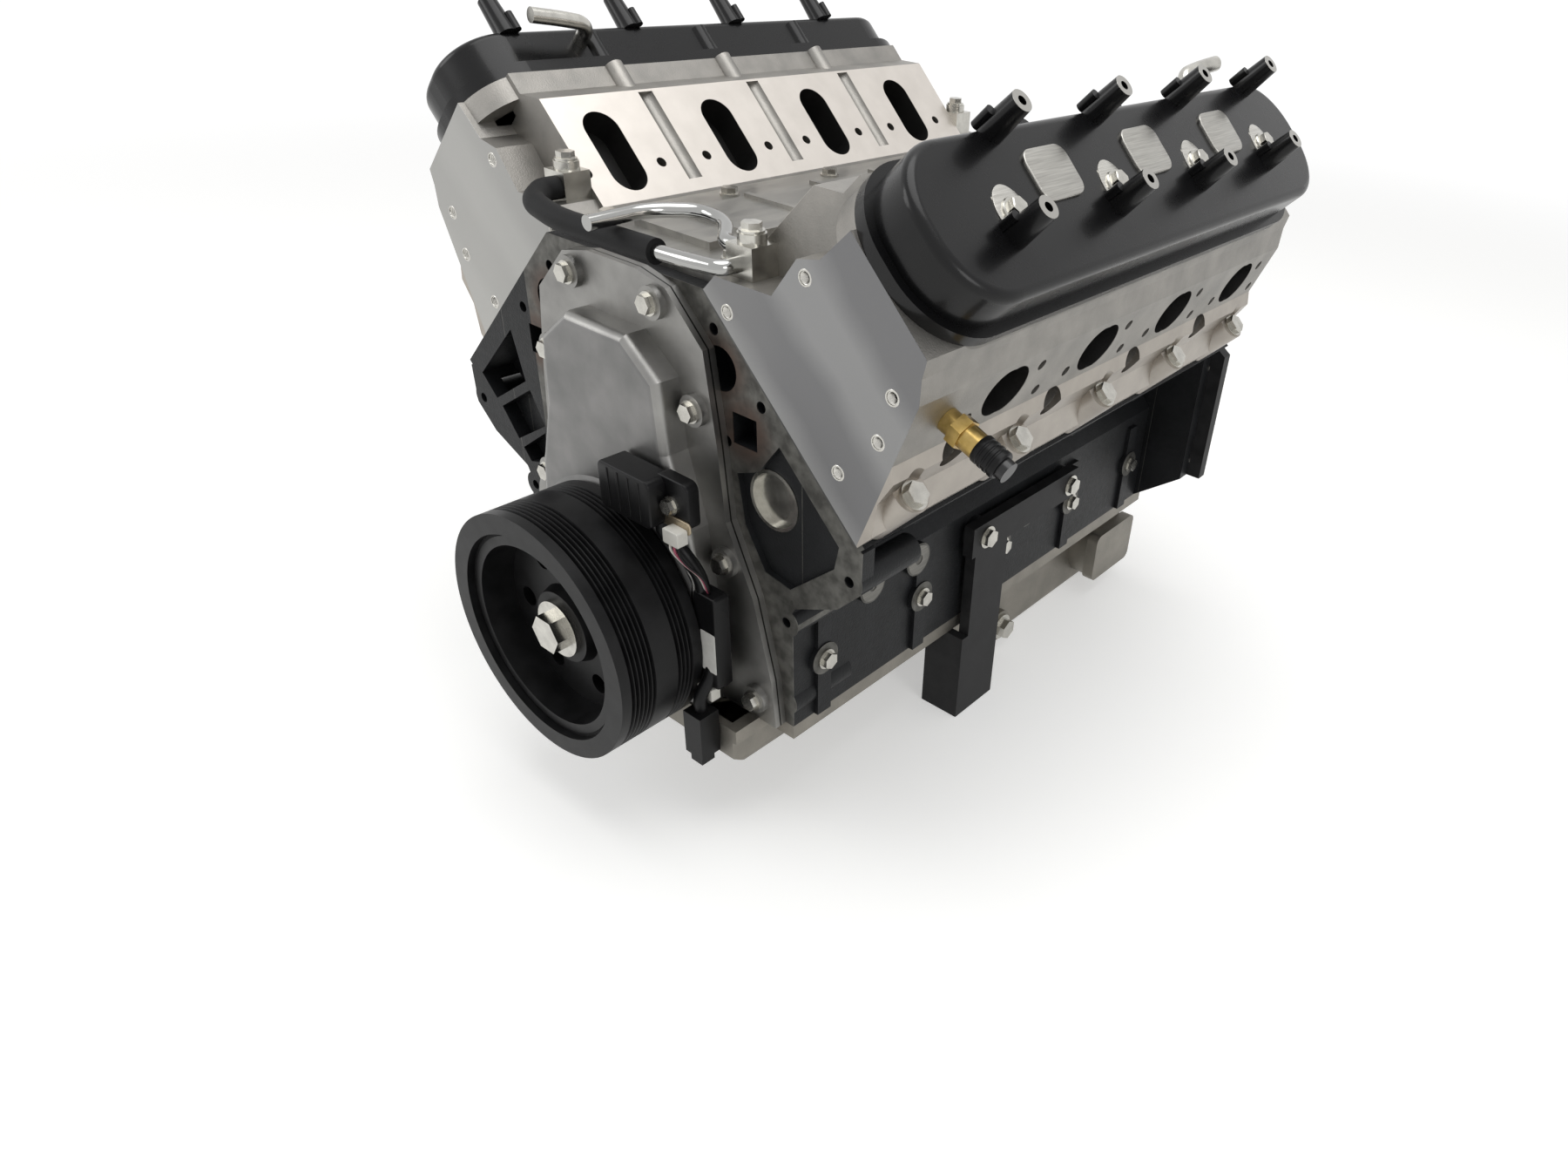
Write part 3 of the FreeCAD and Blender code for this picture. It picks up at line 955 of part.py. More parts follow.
# Cam position sensor on the front cover with its harness clipped down the cover
face_y = "(%s - front_depth)" % front
sensor = fuse(block(("30", face_y + " - 22", "100"), (44, 22, 30)), block(("66", face_y + " - 10", "106"), (24, 10, 20)),
              rod("11", "26", (44, face_y + " - 13", "122"), FreeCAD.Rotation()))
node("cam_sensor", cut(sensor, rod("3.3", "30", ("82", face_y + " - 12", "116"), REARWARD)))
node("cam_sensor_bolt", bolt("3.2", "5.5", "9.9", ("82", face_y + " - 10", "116"), FORWARD))
face = -size("block_length") - size("front_depth")
harness = bent_bar([(68, face - 8, 99.9), (68, face - 8, 90), (84, face - 6, 80), (93, face + 2, 58), (92, face + 3, 30),
                    (93, face + 4, 2), (100, face + 1, -18), (99, face - 12, -33), (99, face - 12, -45.9)], 5.0, 0.42)
node("sensor_harness", harness)
plug = fuse(block((90, face - 21, -84), (18, 17.5, 38)), block((93, face - 19, -92), (12, 12, 8)))
node("harness_connector", plug)

# Write every node after checking the document
doc.recompute()
broken = [thing.Label for thing in doc.Objects if "Invalid" in thing.State or "Error" in thing.State]
if broken:
    raise RuntimeError("objects failed: %s" % broken[:12])
os.makedirs("parts", exist_ok=True)
for name, thing in NODES.items():
    shape = thing.Shape
    if shape.isNull() or not shape.isValid():
        raise RuntimeError("bad shape in %s" % name)
    shape.exportStep("parts/%s.step" % name)
    box = shape.BoundBox
    print("%-26s solids %3d volume %9.0f  x %6.1f %6.1f  y %7.1f %7.1f  z %6.1f %6.1f" % (
        name, len(shape.Solids), shape.Volume, box.XMin, box.XMax, box.YMin, box.YMax, box.ZMin, box.ZMax))
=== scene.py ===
import math
import bpy
from mathutils import Matrix, Vector


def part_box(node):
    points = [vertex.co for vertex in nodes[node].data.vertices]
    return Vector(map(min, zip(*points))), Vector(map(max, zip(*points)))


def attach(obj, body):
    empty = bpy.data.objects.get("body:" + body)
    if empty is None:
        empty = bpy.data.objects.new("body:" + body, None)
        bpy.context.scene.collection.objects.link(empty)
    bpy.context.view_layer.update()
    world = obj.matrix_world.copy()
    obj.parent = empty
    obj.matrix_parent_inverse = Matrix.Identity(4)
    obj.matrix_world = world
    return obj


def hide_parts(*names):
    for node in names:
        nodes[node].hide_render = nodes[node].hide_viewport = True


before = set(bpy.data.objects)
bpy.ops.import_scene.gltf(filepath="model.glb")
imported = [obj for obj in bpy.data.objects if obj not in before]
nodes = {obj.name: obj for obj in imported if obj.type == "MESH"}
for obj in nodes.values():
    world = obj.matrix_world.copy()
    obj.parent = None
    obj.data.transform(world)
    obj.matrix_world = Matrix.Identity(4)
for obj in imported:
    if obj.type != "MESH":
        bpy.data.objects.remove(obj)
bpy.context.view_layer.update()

# A V8 engine on its transport stands: finishes for the castings and machined faces,
# and the small trim pieces that sit on them. Metres, +Z up, -Y is the front of the engine.

millimetre = 0.001
quarter = math.radians(90)
# Sine and cosine of the banks' 45 degrees
slant = math.sqrt(0.5)

# Both banks lean 45 degrees. Bank places are (across, along, up):
# across runs from the valley to the exhaust side and up runs along the bores.
# The exhaust faces lean further out, and outward and faceUp are their own two directions.
bank = {
    "pitch": 0.11176,
    "rightMiddle": -0.284985,
    "leftMiddle": -0.260855,
    "headReach": 0.245,
    "coverTop": 0.403,
    "boltLine": -0.050,
    "boltShift": 0.001,
    "outward": (0.92808, 0.0, -0.37236),
    "faceUp": (0.37236, 0.0, 0.92808),
    "exhaustFace": 0.14978,
}


def bankPoint(side, across, along, up):
    if side > 0:
        return Vector(((up + across) * slant, bank["rightMiddle"] + along, (up - across) * slant))
    return Vector((-(up + across) * slant, bank["leftMiddle"] - along, (up - across) * slant))


def bankMatrix(side, across, along, up):
    # Axes of a piece laid on a bank: x across, y along, z up the bores
    turn = Matrix.Rotation(math.radians(45), 4, "Y")
    if side < 0:
        turn = Matrix.Rotation(math.radians(-45), 4, "Y") @ Matrix.Rotation(math.pi, 4, "Z")
    return Matrix.Translation(bankPoint(side, across, along, up)) @ turn


def facingFront(point):
    # Axes of a piece that stands on a face towards the front: x to the right, y up, z forward
    return Matrix.Translation(point) @ Matrix.Rotation(quarter, 4, "X")


# Node and colour helpers

def linear(hexText):
    parts = [int(hexText[i:i + 2], 16) / 255 for i in (1, 3, 5)]
    return tuple(c / 12.92 if c <= 0.04045 else ((c + 0.055) / 1.055) ** 2.4 for c in parts) + (1.0,)


def addNode(tree, kind, settings=None, links=None):
    node = tree.nodes.new(kind)
    for name, value in (settings or {}).items():
        setattr(node, name, value)
    for name, value in (links or {}).items():
        if isinstance(value, bpy.types.NodeSocket):
            tree.links.new(value, node.inputs[name])
        else:
            node.inputs[name].default_value = value
    return node


def perMillimetre(size):
    return 1.0 / (size * millimetre)


def startMaterial(name, colour, metallic, roughness):
    material = bpy.data.materials.new(name)
    material.use_nodes = True
    tree = material.node_tree
    tree.nodes.clear()
    shader = addNode(tree, "ShaderNodeBsdfPrincipled", {}, {
        "Base Color": linear(colour), "Metallic": metallic, "Roughness": roughness})
    addNode(tree, "ShaderNodeOutputMaterial", {}, {"Surface": shader.outputs["BSDF"]})
    place = addNode(tree, "ShaderNodeTexCoord").outputs["Object"]
    return material, tree, shader, place


def sandGrain(tree, place, size, detail=3.0):
    return addNode(tree, "ShaderNodeTexNoise", {}, {
        "Vector": place, "Scale": perMillimetre(size), "Detail": detail}).outputs["Fac"]


def ramp(tree, value, low, high, colours):
    node = addNode(tree, "ShaderNodeValToRGB", {}, {"Fac": value})
    for element, position, colour in zip(node.color_ramp.elements, (low, high), colours):
        element.position = position
        element.color = linear(colour)
    return node.outputs["Color"]


def blendColour(tree, amount, first, second):
    node = addNode(tree, "ShaderNodeMix", {"data_type": "RGBA"})
    # The mix node has its colour sockets at 6 and 7
    for index, value in ((0, amount), (6, first), (7, second)):
        if isinstance(value, bpy.types.NodeSocket):
            tree.links.new(value, node.inputs[index])
        else:
            node.inputs[index].default_value = value
    return node.outputs[2]


def compute(tree, operation, first, second=0.0, third=0.0):
    return addNode(tree, "ShaderNodeMath", {"operation": operation}, {
        0: first, 1: second, 2: third}).outputs[0]


def above(tree, value, limit):
    return compute(tree, "GREATER_THAN", value, limit)


def below(tree, value, limit):
    return compute(tree, "LESS_THAN", value, limit)


def allOf(tree, *masks):
    together = masks[0]
    for mask in masks[1:]:
        together = compute(tree, "MULTIPLY", together, mask)
    return together


def anyOf(tree, *masks):
    together = masks[0]
    for mask in masks[1:]:
        together = compute(tree, "MAXIMUM", together, mask)
    return together


def between(tree, value, limits):
    return allOf(tree, above(tree, value, limits[0]), below(tree, value, limits[1]))


def mapRange(tree, value, start, end, first, last, kind="LINEAR"):
    return addNode(tree, "ShaderNodeMapRange", {"interpolation_type": kind}, {
        "Value": value, "From Min": start, "From Max": end, "To Min": first, "To Max": last}).outputs[0]


def vectorMeasure(tree, operation, vector, other=(0.0, 0.0, 0.0)):
    return addNode(tree, "ShaderNodeVectorMath", {"operation": operation}, {
        0: vector, 1: other}).outputs["Value"]


def axis(tree, place, letter):
    return addNode(tree, "ShaderNodeSeparateXYZ", {}, {0: place}).outputs[letter]


def mirrored(tree, place):
    # Folds the left half of the engine on the right one, for faces that both have
    folded = compute(tree, "ABSOLUTE", axis(tree, place, "X"))
    return addNode(tree, "ShaderNodeCombineXYZ", {}, {
        "X": folded, "Y": axis(tree, place, "Y"), "Z": axis(tree, place, "Z")}).outputs[0]


def tint(tree, shader, colour):
    tree.links.new(colour, shader.inputs["Base Color"])


def roughen(tree, shader, pattern, spread, least):
    tree.links.new(compute(tree, "MULTIPLY_ADD", pattern, spread, least), shader.inputs["Roughness"])


def bump(tree, shader, height, strength, distance):
    node = addNode(tree, "ShaderNodeBump", {}, {
        "Height": height, "Strength": strength, "Distance": distance * millimetre})
    tree.links.new(node.outputs["Normal"], shader.inputs["Normal"])


def toolMarks(tree, place, spacing, angle, wobble):
    # Parallel cutter passes across a milled face. The wave node turns 20 radians in a unit,
    # so the shade comes back after 2 pi spacings
    mapped = addNode(tree, "ShaderNodeMapping", {}, {
        "Vector": place, "Rotation": (0.0, angle, 0.0)}).outputs[0]
    return addNode(tree, "ShaderNodeTexWave", {"bands_direction": "X"}, {
        "Vector": mapped, "Scale": perMillimetre(spacing) / 20, "Distortion": wobble,
        "Detail": 2.0, "Detail Scale": 4.0}).outputs["Fac"]


def boreDistance(tree, place, shift):
    # Distance along the engine to the nearest of a row of places at the bore spacing. The banks are
    # turned end for end, so the shift of the row from the middle of its bank has the other sign on the left
    left = bank["leftMiddle"] - shift + bank["pitch"] / 2
    right = bank["rightMiddle"] + shift + bank["pitch"] / 2
    first = compute(tree, "MULTIPLY_ADD", above(tree, axis(tree, place, "X"), 0.0), right - left, left)
    beyond = compute(tree, "SUBTRACT", axis(tree, place, "Y"), first)
    return compute(tree, "PINGPONG", beyond, bank["pitch"] / 2)


# Materials, each named for what it is and how its surface was made.
# Sizes of grain, cloud and streak are in millimetres, places and reaches in metres.

blackSpecular = 0.2

blockFinish = {
    "paint": "#17181a", "paintShades": ("#131415", "#1f2022"), "iron": ("#4b4a47", "#6a6965"),
    "rust": "#4a3023", "grain": 1.6, "gloss": 5.0, "cloud": 9.0, "paintCloud": 30.0,
    "frontFace": -0.5244, "wingEdge": -0.117, "padFaces": (0.1547, 0.1553),
    "stainedPorts": ((0.088, -0.525, 0.201), (0.109, -0.525, 0.164)), "stainReach": (0.013, 0.030),
}


def paintedCastIron():
    # Sand-cast iron under satin black paint: a pebbled skin with soft highlights, bare where it was milled
    # and rusty round the coolant ports
    material, tree, shader, place = startMaterial("satin_black_cast_iron", blockFinish["paint"], 0.0, 0.42)
    shader.inputs["Specular IOR Level"].default_value = blackSpecular
    folded = mirrored(tree, place)
    onFront = allOf(tree, below(tree, axis(tree, place, "Y"), blockFinish["frontFace"]),
                    above(tree, axis(tree, place, "X"), blockFinish["wingEdge"]))
    onPads = between(tree, axis(tree, folded, "X"), blockFinish["padFaces"])
    milled = anyOf(tree, onFront, onPads)
    near, far = blockFinish["stainReach"]
    stain = anyOf(tree, *(mapRange(tree, vectorMeasure(tree, "DISTANCE", folded, port), near, far, 1.0, 0.0,
                                   "SMOOTHSTEP") for port in blockFinish["stainedPorts"]))
    cloud = sandGrain(tree, place, blockFinish["cloud"])
    bare = blendColour(tree, allOf(tree, stain, cloud), ramp(tree, cloud, 0.35, 0.7, blockFinish["iron"]),
                       linear(blockFinish["rust"]))
    paintCloud = sandGrain(tree, place, blockFinish["paintCloud"])
    painted = ramp(tree, paintCloud, 0.3, 0.75, blockFinish["paintShades"])
    tint(tree, shader, blendColour(tree, milled, painted, bare))
    tree.links.new(compute(tree, "MULTIPLY", milled, 0.85), shader.inputs["Metallic"])
    roughen(tree, shader, sandGrain(tree, place, blockFinish["gloss"]), 0.18, 0.36)
    asCast = compute(tree, "SUBTRACT", 1.0, milled)
    bump(tree, shader, allOf(tree, sandGrain(tree, place, blockFinish["grain"]), asCast), 0.45, 0.5)
    return material


# The end light values paint light on the left end face, and the darkest colour paints shade into the port
# walls
headFinish = {
    "base": "#8a8883", "cast": ("#868480", "#97948f"), "ends": ("#747475", "#8b8b8b"), "litEnd": "#b2b1ad",
    "exhaust": ("#9c968f", "#a9a39b"), "intake": ("#cdc7c0", "#d5cfc8"), "portShadeColour": "#161514",
    "grain": 1.1, "cloud": 22.0, "cutter": 14.0, "endLight": (-0.2, 0.15), "endLightMost": 0.7,
    "endMargin": 0.000135, "faceMargin": 0.00005, "intakeFace": -0.1239,
}
intakePort = {"shift": 0.012065, "halfWide": 0.0172, "across": (-0.1234, -0.0900), "up": 0.283,
              "halfTall": 0.0350}
exhaustPort = {"shift": 0.020, "radius": 0.0235, "up": 0.28404, "outward": (0.09, 0.1493),
               "rowMiddle": -0.2765, "rowReach": 0.2085}


def intakeDepth(tree, place, folded, across):
    # The bare walls of the intake ports, which lie in shade; the head paints them near-black as painted shade
    wide = below(tree, boreDistance(tree, place, intakePort["shift"]), intakePort["halfWide"])
    up = vectorMeasure(tree, "DOT_PRODUCT", folded, (slant, 0.0, slant))
    tall = compute(tree, "COMPARE", up, intakePort["up"], intakePort["halfTall"])
    return allOf(tree, wide, between(tree, across, intakePort["across"]), tall)


def exhaustDepth(tree, place, folded, outward):
    # The walls of the round exhaust ports, and nothing beyond the ends of their row; the head paints them
    # near-black as painted shade
    away = boreDistance(tree, place, exhaustPort["shift"])
    up = vectorMeasure(tree, "DOT_PRODUCT", folded, bank["faceUp"])
    rise = compute(tree, "SUBTRACT", up, exhaustPort["up"])
    spread = compute(tree, "SQRT", compute(tree, "ADD", compute(tree, "MULTIPLY", away, away),
                                           compute(tree, "MULTIPLY", rise, rise)))
    along = axis(tree, place, "Y")
    inRow = compute(tree, "COMPARE", along, exhaustPort["rowMiddle"], exhaustPort["rowReach"])
    return allOf(tree, between(tree, outward, exhaustPort["outward"]), inRow,
                 below(tree, spread, exhaustPort["radius"]))


def castHeadAluminium():
    # Sand-cast aluminium with milled faces: dark fly-cut ends with painted light on the left one, a bright
    # intake face that is partly painted light, a beige exhaust face, and port walls in painted shade
    material, tree, shader, place = startMaterial(
        "sand_cast_aluminium_milled_faces", headFinish["base"], 1.0, 0.42)
    folded = mirrored(tree, place)
    sideways, along = axis(tree, place, "X"), axis(tree, place, "Y")
    grain = sandGrain(tree, place, headFinish["grain"])
    cloud = sandGrain(tree, place, headFinish["cloud"])
    across = vectorMeasure(tree, "DOT_PRODUCT", folded, (slant, 0.0, -slant))
    outward = vectorMeasure(tree, "DOT_PRODUCT", folded, bank["outward"])
    intake = below(tree, across, headFinish["intakeFace"])
    exhaust = above(tree, outward, bank["exhaustFace"] - headFinish["faceMargin"])
    rightEnd, leftEnd = (bank[middle] - bank["headReach"] + headFinish["endMargin"]
                         for middle in ("rightMiddle", "leftMiddle"))
    ends = anyOf(tree, below(tree, along, rightEnd),
                 allOf(tree, below(tree, along, leftEnd), below(tree, sideways, 0.0)))
    flyCut = toolMarks(tree, place, headFinish["cutter"], math.radians(45), 1.0)
    # Painted light: the end faces blend from the darker fly-cut tone at the right head towards a lighter tone
    # at the left head
    lit = mapRange(tree, sideways, *headFinish["endLight"], headFinish["endLightMost"], 0.0)
    darkEnd = ramp(tree, flyCut, 0.2, 0.8, headFinish["ends"])
    endFace = blendColour(tree, lit, darkEnd, linear(headFinish["litEnd"]))
    colour = ramp(tree, cloud, 0.3, 0.7, headFinish["cast"])
    # The intake face is painted much lighter than the exhaust face: partly its bright milled finish, partly
    # painted light of the light falling on it from above
    for mask, face in ((ends, endFace), (exhaust, ramp(tree, cloud, 0.3, 0.7, headFinish["exhaust"])),
                       (intake, ramp(tree, cloud, 0.3, 0.7, headFinish["intake"]))):
        colour = blendColour(tree, mask, colour, face)
    milled = anyOf(tree, ends, exhaust, intake)
    # Painted shade: the deep port walls are painted near-black and made less metallic
    paintedPortShade = anyOf(tree, intakeDepth(tree, place, folded, across), exhaustDepth(tree, place, folded, outward))
    tint(tree, shader, blendColour(tree, paintedPortShade, colour, linear(headFinish["portShadeColour"])))
    tree.links.new(compute(tree, "MULTIPLY_ADD", paintedPortShade, -0.8, 1.0), shader.inputs["Metallic"])
    roughen(tree, shader, grain, 0.12, compute(tree, "MULTIPLY_ADD", milled, -0.1, 0.42))
    bump(tree, shader, allOf(tree, grain, compute(tree, "MULTIPLY_ADD", milled, -0.94, 1.0)), 0.5, 0.35)
    return material


coverFinish = {"coat": "#0c0c0d", "bare": "#a9a7a2", "peel": 1.4, "gloss": 12.0, "seatLow": 0.0028,
               "seatBand": 0.0030, "seatReach": 0.0113, "tipHigh": 0.0268}


def coatedCover():
    # Cast aluminium under semi-gloss black powder coat: slight orange peel, bare metal in the bolt seats
    # and on the tips of the posts
    material, tree, shader, place = startMaterial(
        "semi_gloss_black_powder_coat", coverFinish["coat"], 0.0, 0.26)
    shader.inputs["Specular IOR Level"].default_value = blackSpecular
    shader.inputs["Coat Weight"].default_value = 0.16
    shader.inputs["Coat Roughness"].default_value = 0.12
    folded = mirrored(tree, place)
    up = vectorMeasure(tree, "DOT_PRODUCT", folded, (slant, 0.0, slant))
    across = vectorMeasure(tree, "DOT_PRODUCT", folded, (slant, 0.0, -slant))
    seatHeight = bank["coverTop"] - coverFinish["seatLow"]
    seat = allOf(tree, compute(tree, "COMPARE", up, seatHeight, coverFinish["seatBand"]),
                 below(tree, boreDistance(tree, place, bank["boltShift"]), coverFinish["seatReach"]),
                 compute(tree, "COMPARE", across, bank["boltLine"], coverFinish["seatReach"]))
    bare = anyOf(tree, seat, above(tree, up, bank["coverTop"] + coverFinish["tipHigh"]))
    tint(tree, shader, blendColour(tree, bare, linear(coverFinish["coat"]), linear(coverFinish["bare"])))
    tree.links.new(bare, shader.inputs["Metallic"])
    roughen(tree, shader, sandGrain(tree, place, coverFinish["gloss"]), 0.08, 0.24)
    bump(tree, shader, sandGrain(tree, place, coverFinish["peel"]), 0.08, 0.25)
    return material


def castMetal(name, shades, roughness, grain, strength, cloudSize=18.0):
    # Bare casting: tumbled grain and slow shade changes over the skin
    material, tree, shader, place = startMaterial(name, shades[0], 1.0, roughness)
    tint(tree, shader, ramp(tree, sandGrain(tree, place, cloudSize), 0.3, 0.72, shades))
    fine = sandGrain(tree, place, grain)
    roughen(tree, shader, fine, 0.14, roughness - 0.07)
    bump(tree, shader, fine, strength, 0.35)
    return material


plateFinish = {"base": "#8e8d89", "shades": ("#82817e", "#9b9994"), "streak": 24.0, "turn": 0.5,
               "stretch": (1.0, 0.35, 1.0), "grain": 0.9}


def wipedPlate():
    # Thin cast plate wiped with a rag: cloudy streaks in brushed aluminium
    material, tree, shader, place = startMaterial(
        "wiped_cast_aluminium_plate", plateFinish["base"], 1.0, 0.36)
    stretched = addNode(tree, "ShaderNodeMapping", {}, {
        "Vector": place, "Rotation": (0.0, 0.0, plateFinish["turn"]),
        "Scale": plateFinish["stretch"]}).outputs[0]
    streak = addNode(tree, "ShaderNodeTexNoise", {}, {
        "Vector": stretched, "Scale": perMillimetre(plateFinish["streak"]), "Detail": 5.0,
        "Distortion": 1.6}).outputs["Fac"]
    tint(tree, shader, ramp(tree, streak, 0.32, 0.7, plateFinish["shades"]))
    roughen(tree, shader, streak, 0.2, 0.28)
    bump(tree, shader, sandGrain(tree, place, plateFinish["grain"]), 0.12, 0.2)
    return material


zincFinish = {"base": "#bdbab2", "shades": ("#aeaca6", "#c6c4bd"), "cloud": 9.0, "grain": 0.6}


def platedSteel():
    # Zinc-plated cold-headed steel: bright, a little uneven, with fine handling marks
    material, tree, shader, place = startMaterial("zinc_plated_steel", zincFinish["base"], 1.0, 0.26)
    cloud = sandGrain(tree, place, zincFinish["cloud"])
    tint(tree, shader, ramp(tree, cloud, 0.3, 0.7, zincFinish["shades"]))
    roughen(tree, shader, cloud, 0.1, 0.2)
    bump(tree, shader, sandGrain(tree, place, zincFinish["grain"]), 0.04, 0.05)
    return material


chromeFinish = {"colour": "#a3a3a1", "cloud": 12.0, "ripple": 6.0}


def chromedTube():
    # Chromed steel tube and formed sheet: mirror-like with the faintest ripple
    material, tree, shader, place = startMaterial("chromed_steel_tube", chromeFinish["colour"], 1.0, 0.12)
    roughen(tree, shader, sandGrain(tree, place, chromeFinish["cloud"]), 0.08, 0.08)
    bump(tree, shader, sandGrain(tree, place, chromeFinish["ripple"]), 0.03, 0.1)
    return material


frontCoverFinish = {"base": "#8d8d8b", "skin": ("#7f7e7c", "#949390"), "plate": ("#6f6f6e", "#807f7e"),
                    "seal": "#2a2a29", "cloud": 26.0, "grain": 1.0, "plateFace": -0.5555,
                    "sealLine": -0.5302, "sealReach": 0.0006}


def coverCasting():
    # Die-cast aluminium cover: satin plate face, grainy skin round it and a dark seal line in its flange
    material, tree, shader, place = startMaterial(
        "die_cast_aluminium_cover", frontCoverFinish["base"], 1.0, 0.4)
    along = axis(tree, place, "Y")
    cloud = sandGrain(tree, place, frontCoverFinish["cloud"])
    fine = sandGrain(tree, place, frontCoverFinish["grain"])
    plate = below(tree, along, frontCoverFinish["plateFace"])
    seal = compute(tree, "COMPARE", along, frontCoverFinish["sealLine"], frontCoverFinish["sealReach"])
    skin = blendColour(tree, plate, ramp(tree, cloud, 0.3, 0.7, frontCoverFinish["skin"]),
                       ramp(tree, cloud, 0.3, 0.7, frontCoverFinish["plate"]))
    tint(tree, shader, blendColour(tree, seal, skin, linear(frontCoverFinish["seal"])))
    roughen(tree, shader, fine, 0.12, 0.34)
    bump(tree, shader, allOf(tree, fine, compute(tree, "MULTIPLY_ADD", plate, -0.6, 1.0)), 0.22, 0.3)
    return material


brassFinish = {"base": "#a98f52", "shades": ("#9a8149", "#bda266"), "moulding": "#0d0d0e", "cloud": 6.0,
               "grain": 1.0, "bodyLong": 0.0295}


def sensorBrass():
    # Turned brass sensor body with a moulded black end
    material, tree, shader, place = startMaterial("turned_brass_and_moulding", brassFinish["base"], 1.0, 0.28)
    outward = vectorMeasure(tree, "DOT_PRODUCT", place, bank["outward"])
    moulded = above(tree, outward, bank["exhaustFace"] + brassFinish["bodyLong"])
    body = ramp(tree, sandGrain(tree, place, brassFinish["cloud"]), 0.3, 0.7, brassFinish["shades"])
    tint(tree, shader, blendColour(tree, moulded, body, linear(brassFinish["moulding"])))
    tree.links.new(compute(tree, "SUBTRACT", 1.0, moulded), shader.inputs["Metallic"])
    bump(tree, shader, sandGrain(tree, place, brassFinish["grain"]), 0.08, 0.1)
    return material


sheetFinish = {"line": 0.7, "stretch": (1.0, 0.03, 1.0)}


def brushedSheet(name, shades, roughness):
    # Brushed sheet: fine parallel lines from one wipe of an abrasive pad
    material, tree, shader, place = startMaterial(name, shades[0], 1.0, roughness)
    lined = addNode(tree, "ShaderNodeMapping", {}, {
        "Vector": place, "Scale": sheetFinish["stretch"]}).outputs[0]
    lines = sandGrain(tree, lined, sheetFinish["line"])
    tint(tree, shader, ramp(tree, lines, 0.3, 0.7, shades))
    roughen(tree, shader, lines, 0.15, roughness - 0.07)
    bump(tree, shader, lines, 0.15, 0.1)
    return material


mouldingFinish = {"dirt": "#55524d", "dirtMost": 0.25, "cloud": 5.0, "grain": 0.8}


def plainMoulding(name, colour, roughness):
    # Small coloured moulding or printed stock with a faint tone change
    material, tree, shader, place = startMaterial(name, colour, 0.0, roughness)
    cloud = sandGrain(tree, place, mouldingFinish["cloud"])
    shade = compute(tree, "MULTIPLY", cloud, mouldingFinish["dirtMost"])
    tint(tree, shader, blendColour(tree, shade, linear(colour), linear(mouldingFinish["dirt"])))
    bump(tree, shader, sandGrain(tree, place, mouldingFinish["grain"]), 0.1, 0.1)
    return material


def paintedMetal(name, shades, roughness, wear):
    # Black paint over steel, rubbed to a lighter shade here and there
    material, tree, shader, place = startMaterial(name, shades[0], 0.0, roughness)
    shader.inputs["Specular IOR Level"].default_value = blackSpecular
    patches = sandGrain(tree, place, wear, 5.0)
    tint(tree, shader, ramp(tree, patches, 0.35, 0.75, shades))
    roughen(tree, shader, patches, 0.2, roughness - 0.1)
    bump(tree, shader, sandGrain(tree, place, 1.0), 0.15, 0.2)
    return material


def mouldedBlack(name, colour, roughness, grain, strength):
    # Moulded rubber or plastic with a fine even texture
    material, tree, shader, place = startMaterial(name, colour, 0.0, roughness)
    shader.inputs["Specular IOR Level"].default_value = blackSpecular
    fine = sandGrain(tree, place, grain)
    roughen(tree, shader, fine, 0.15, roughness - 0.07)
    bump(tree, shader, fine, strength, 0.15)
    return material


paints = {
    "block": paintedCastIron(),
    "head": castHeadAluminium(),
    "cover": coatedCover(),
    "frontCover": coverCasting(),
    "innerAluminium": castMetal("cast_aluminium_inner", ("#8b8984", "#a3a19b"), 0.45, 1.2, 0.3),
    "plate": wipedPlate(),
    "pan": castMetal("sand_cast_pan_aluminium", ("#807d76", "#8f8b83"), 0.5, 1.5, 0.45, 25.0),
    "zinc": platedSteel(),
    "forged": castMetal("forged_steel_ground", ("#6a6a6b", "#8b8b8c"), 0.35, 0.8, 0.15),
    "damper": paintedMetal("satin_black_damper_paint", ("#0b0b0c", "#151516"), 0.42, 14.0),
    "stand": paintedMetal("black_steel_stand", ("#161617", "#2a2a2b"), 0.5, 20.0),
    "rubber": mouldedBlack("black_rubber_moulded", "#101011", 0.62, 0.9, 0.2),
    "plastic": mouldedBlack("black_plastic_moulded", "#0d0d0e", 0.36, 0.7, 0.12),
    "gasket": castMetal("layered_gasket_steel", ("#4d4d4c", "#636362"), 0.45, 1.0, 0.1),
    "brass": sensorBrass(),
    "chrome": chromedTube(),
    "badge": brushedSheet("brushed_aluminium_pads", ("#9c9a95", "#b9b7b1"), 0.34),
    "machined": brushedSheet("spot_faced_aluminium", ("#b4b2ac", "#cfcdc7"), 0.26),
    "ironFace": brushedSheet("milled_cast_iron", ("#6a6965", "#83817c"), 0.45),
    "tan": brushedSheet("tinned_steel_bracket", ("#9a8d78", "#b5a892"), 0.38),
    "white": plainMoulding("white_nylon_moulding", "#dcdad2", 0.45),
    "label": plainMoulding("blank_paper_label", "#e4e3de", 0.7),
    "pink": plainMoulding("pink_wire_sleeve", "#b4506a", 0.5),
}
print("materials")

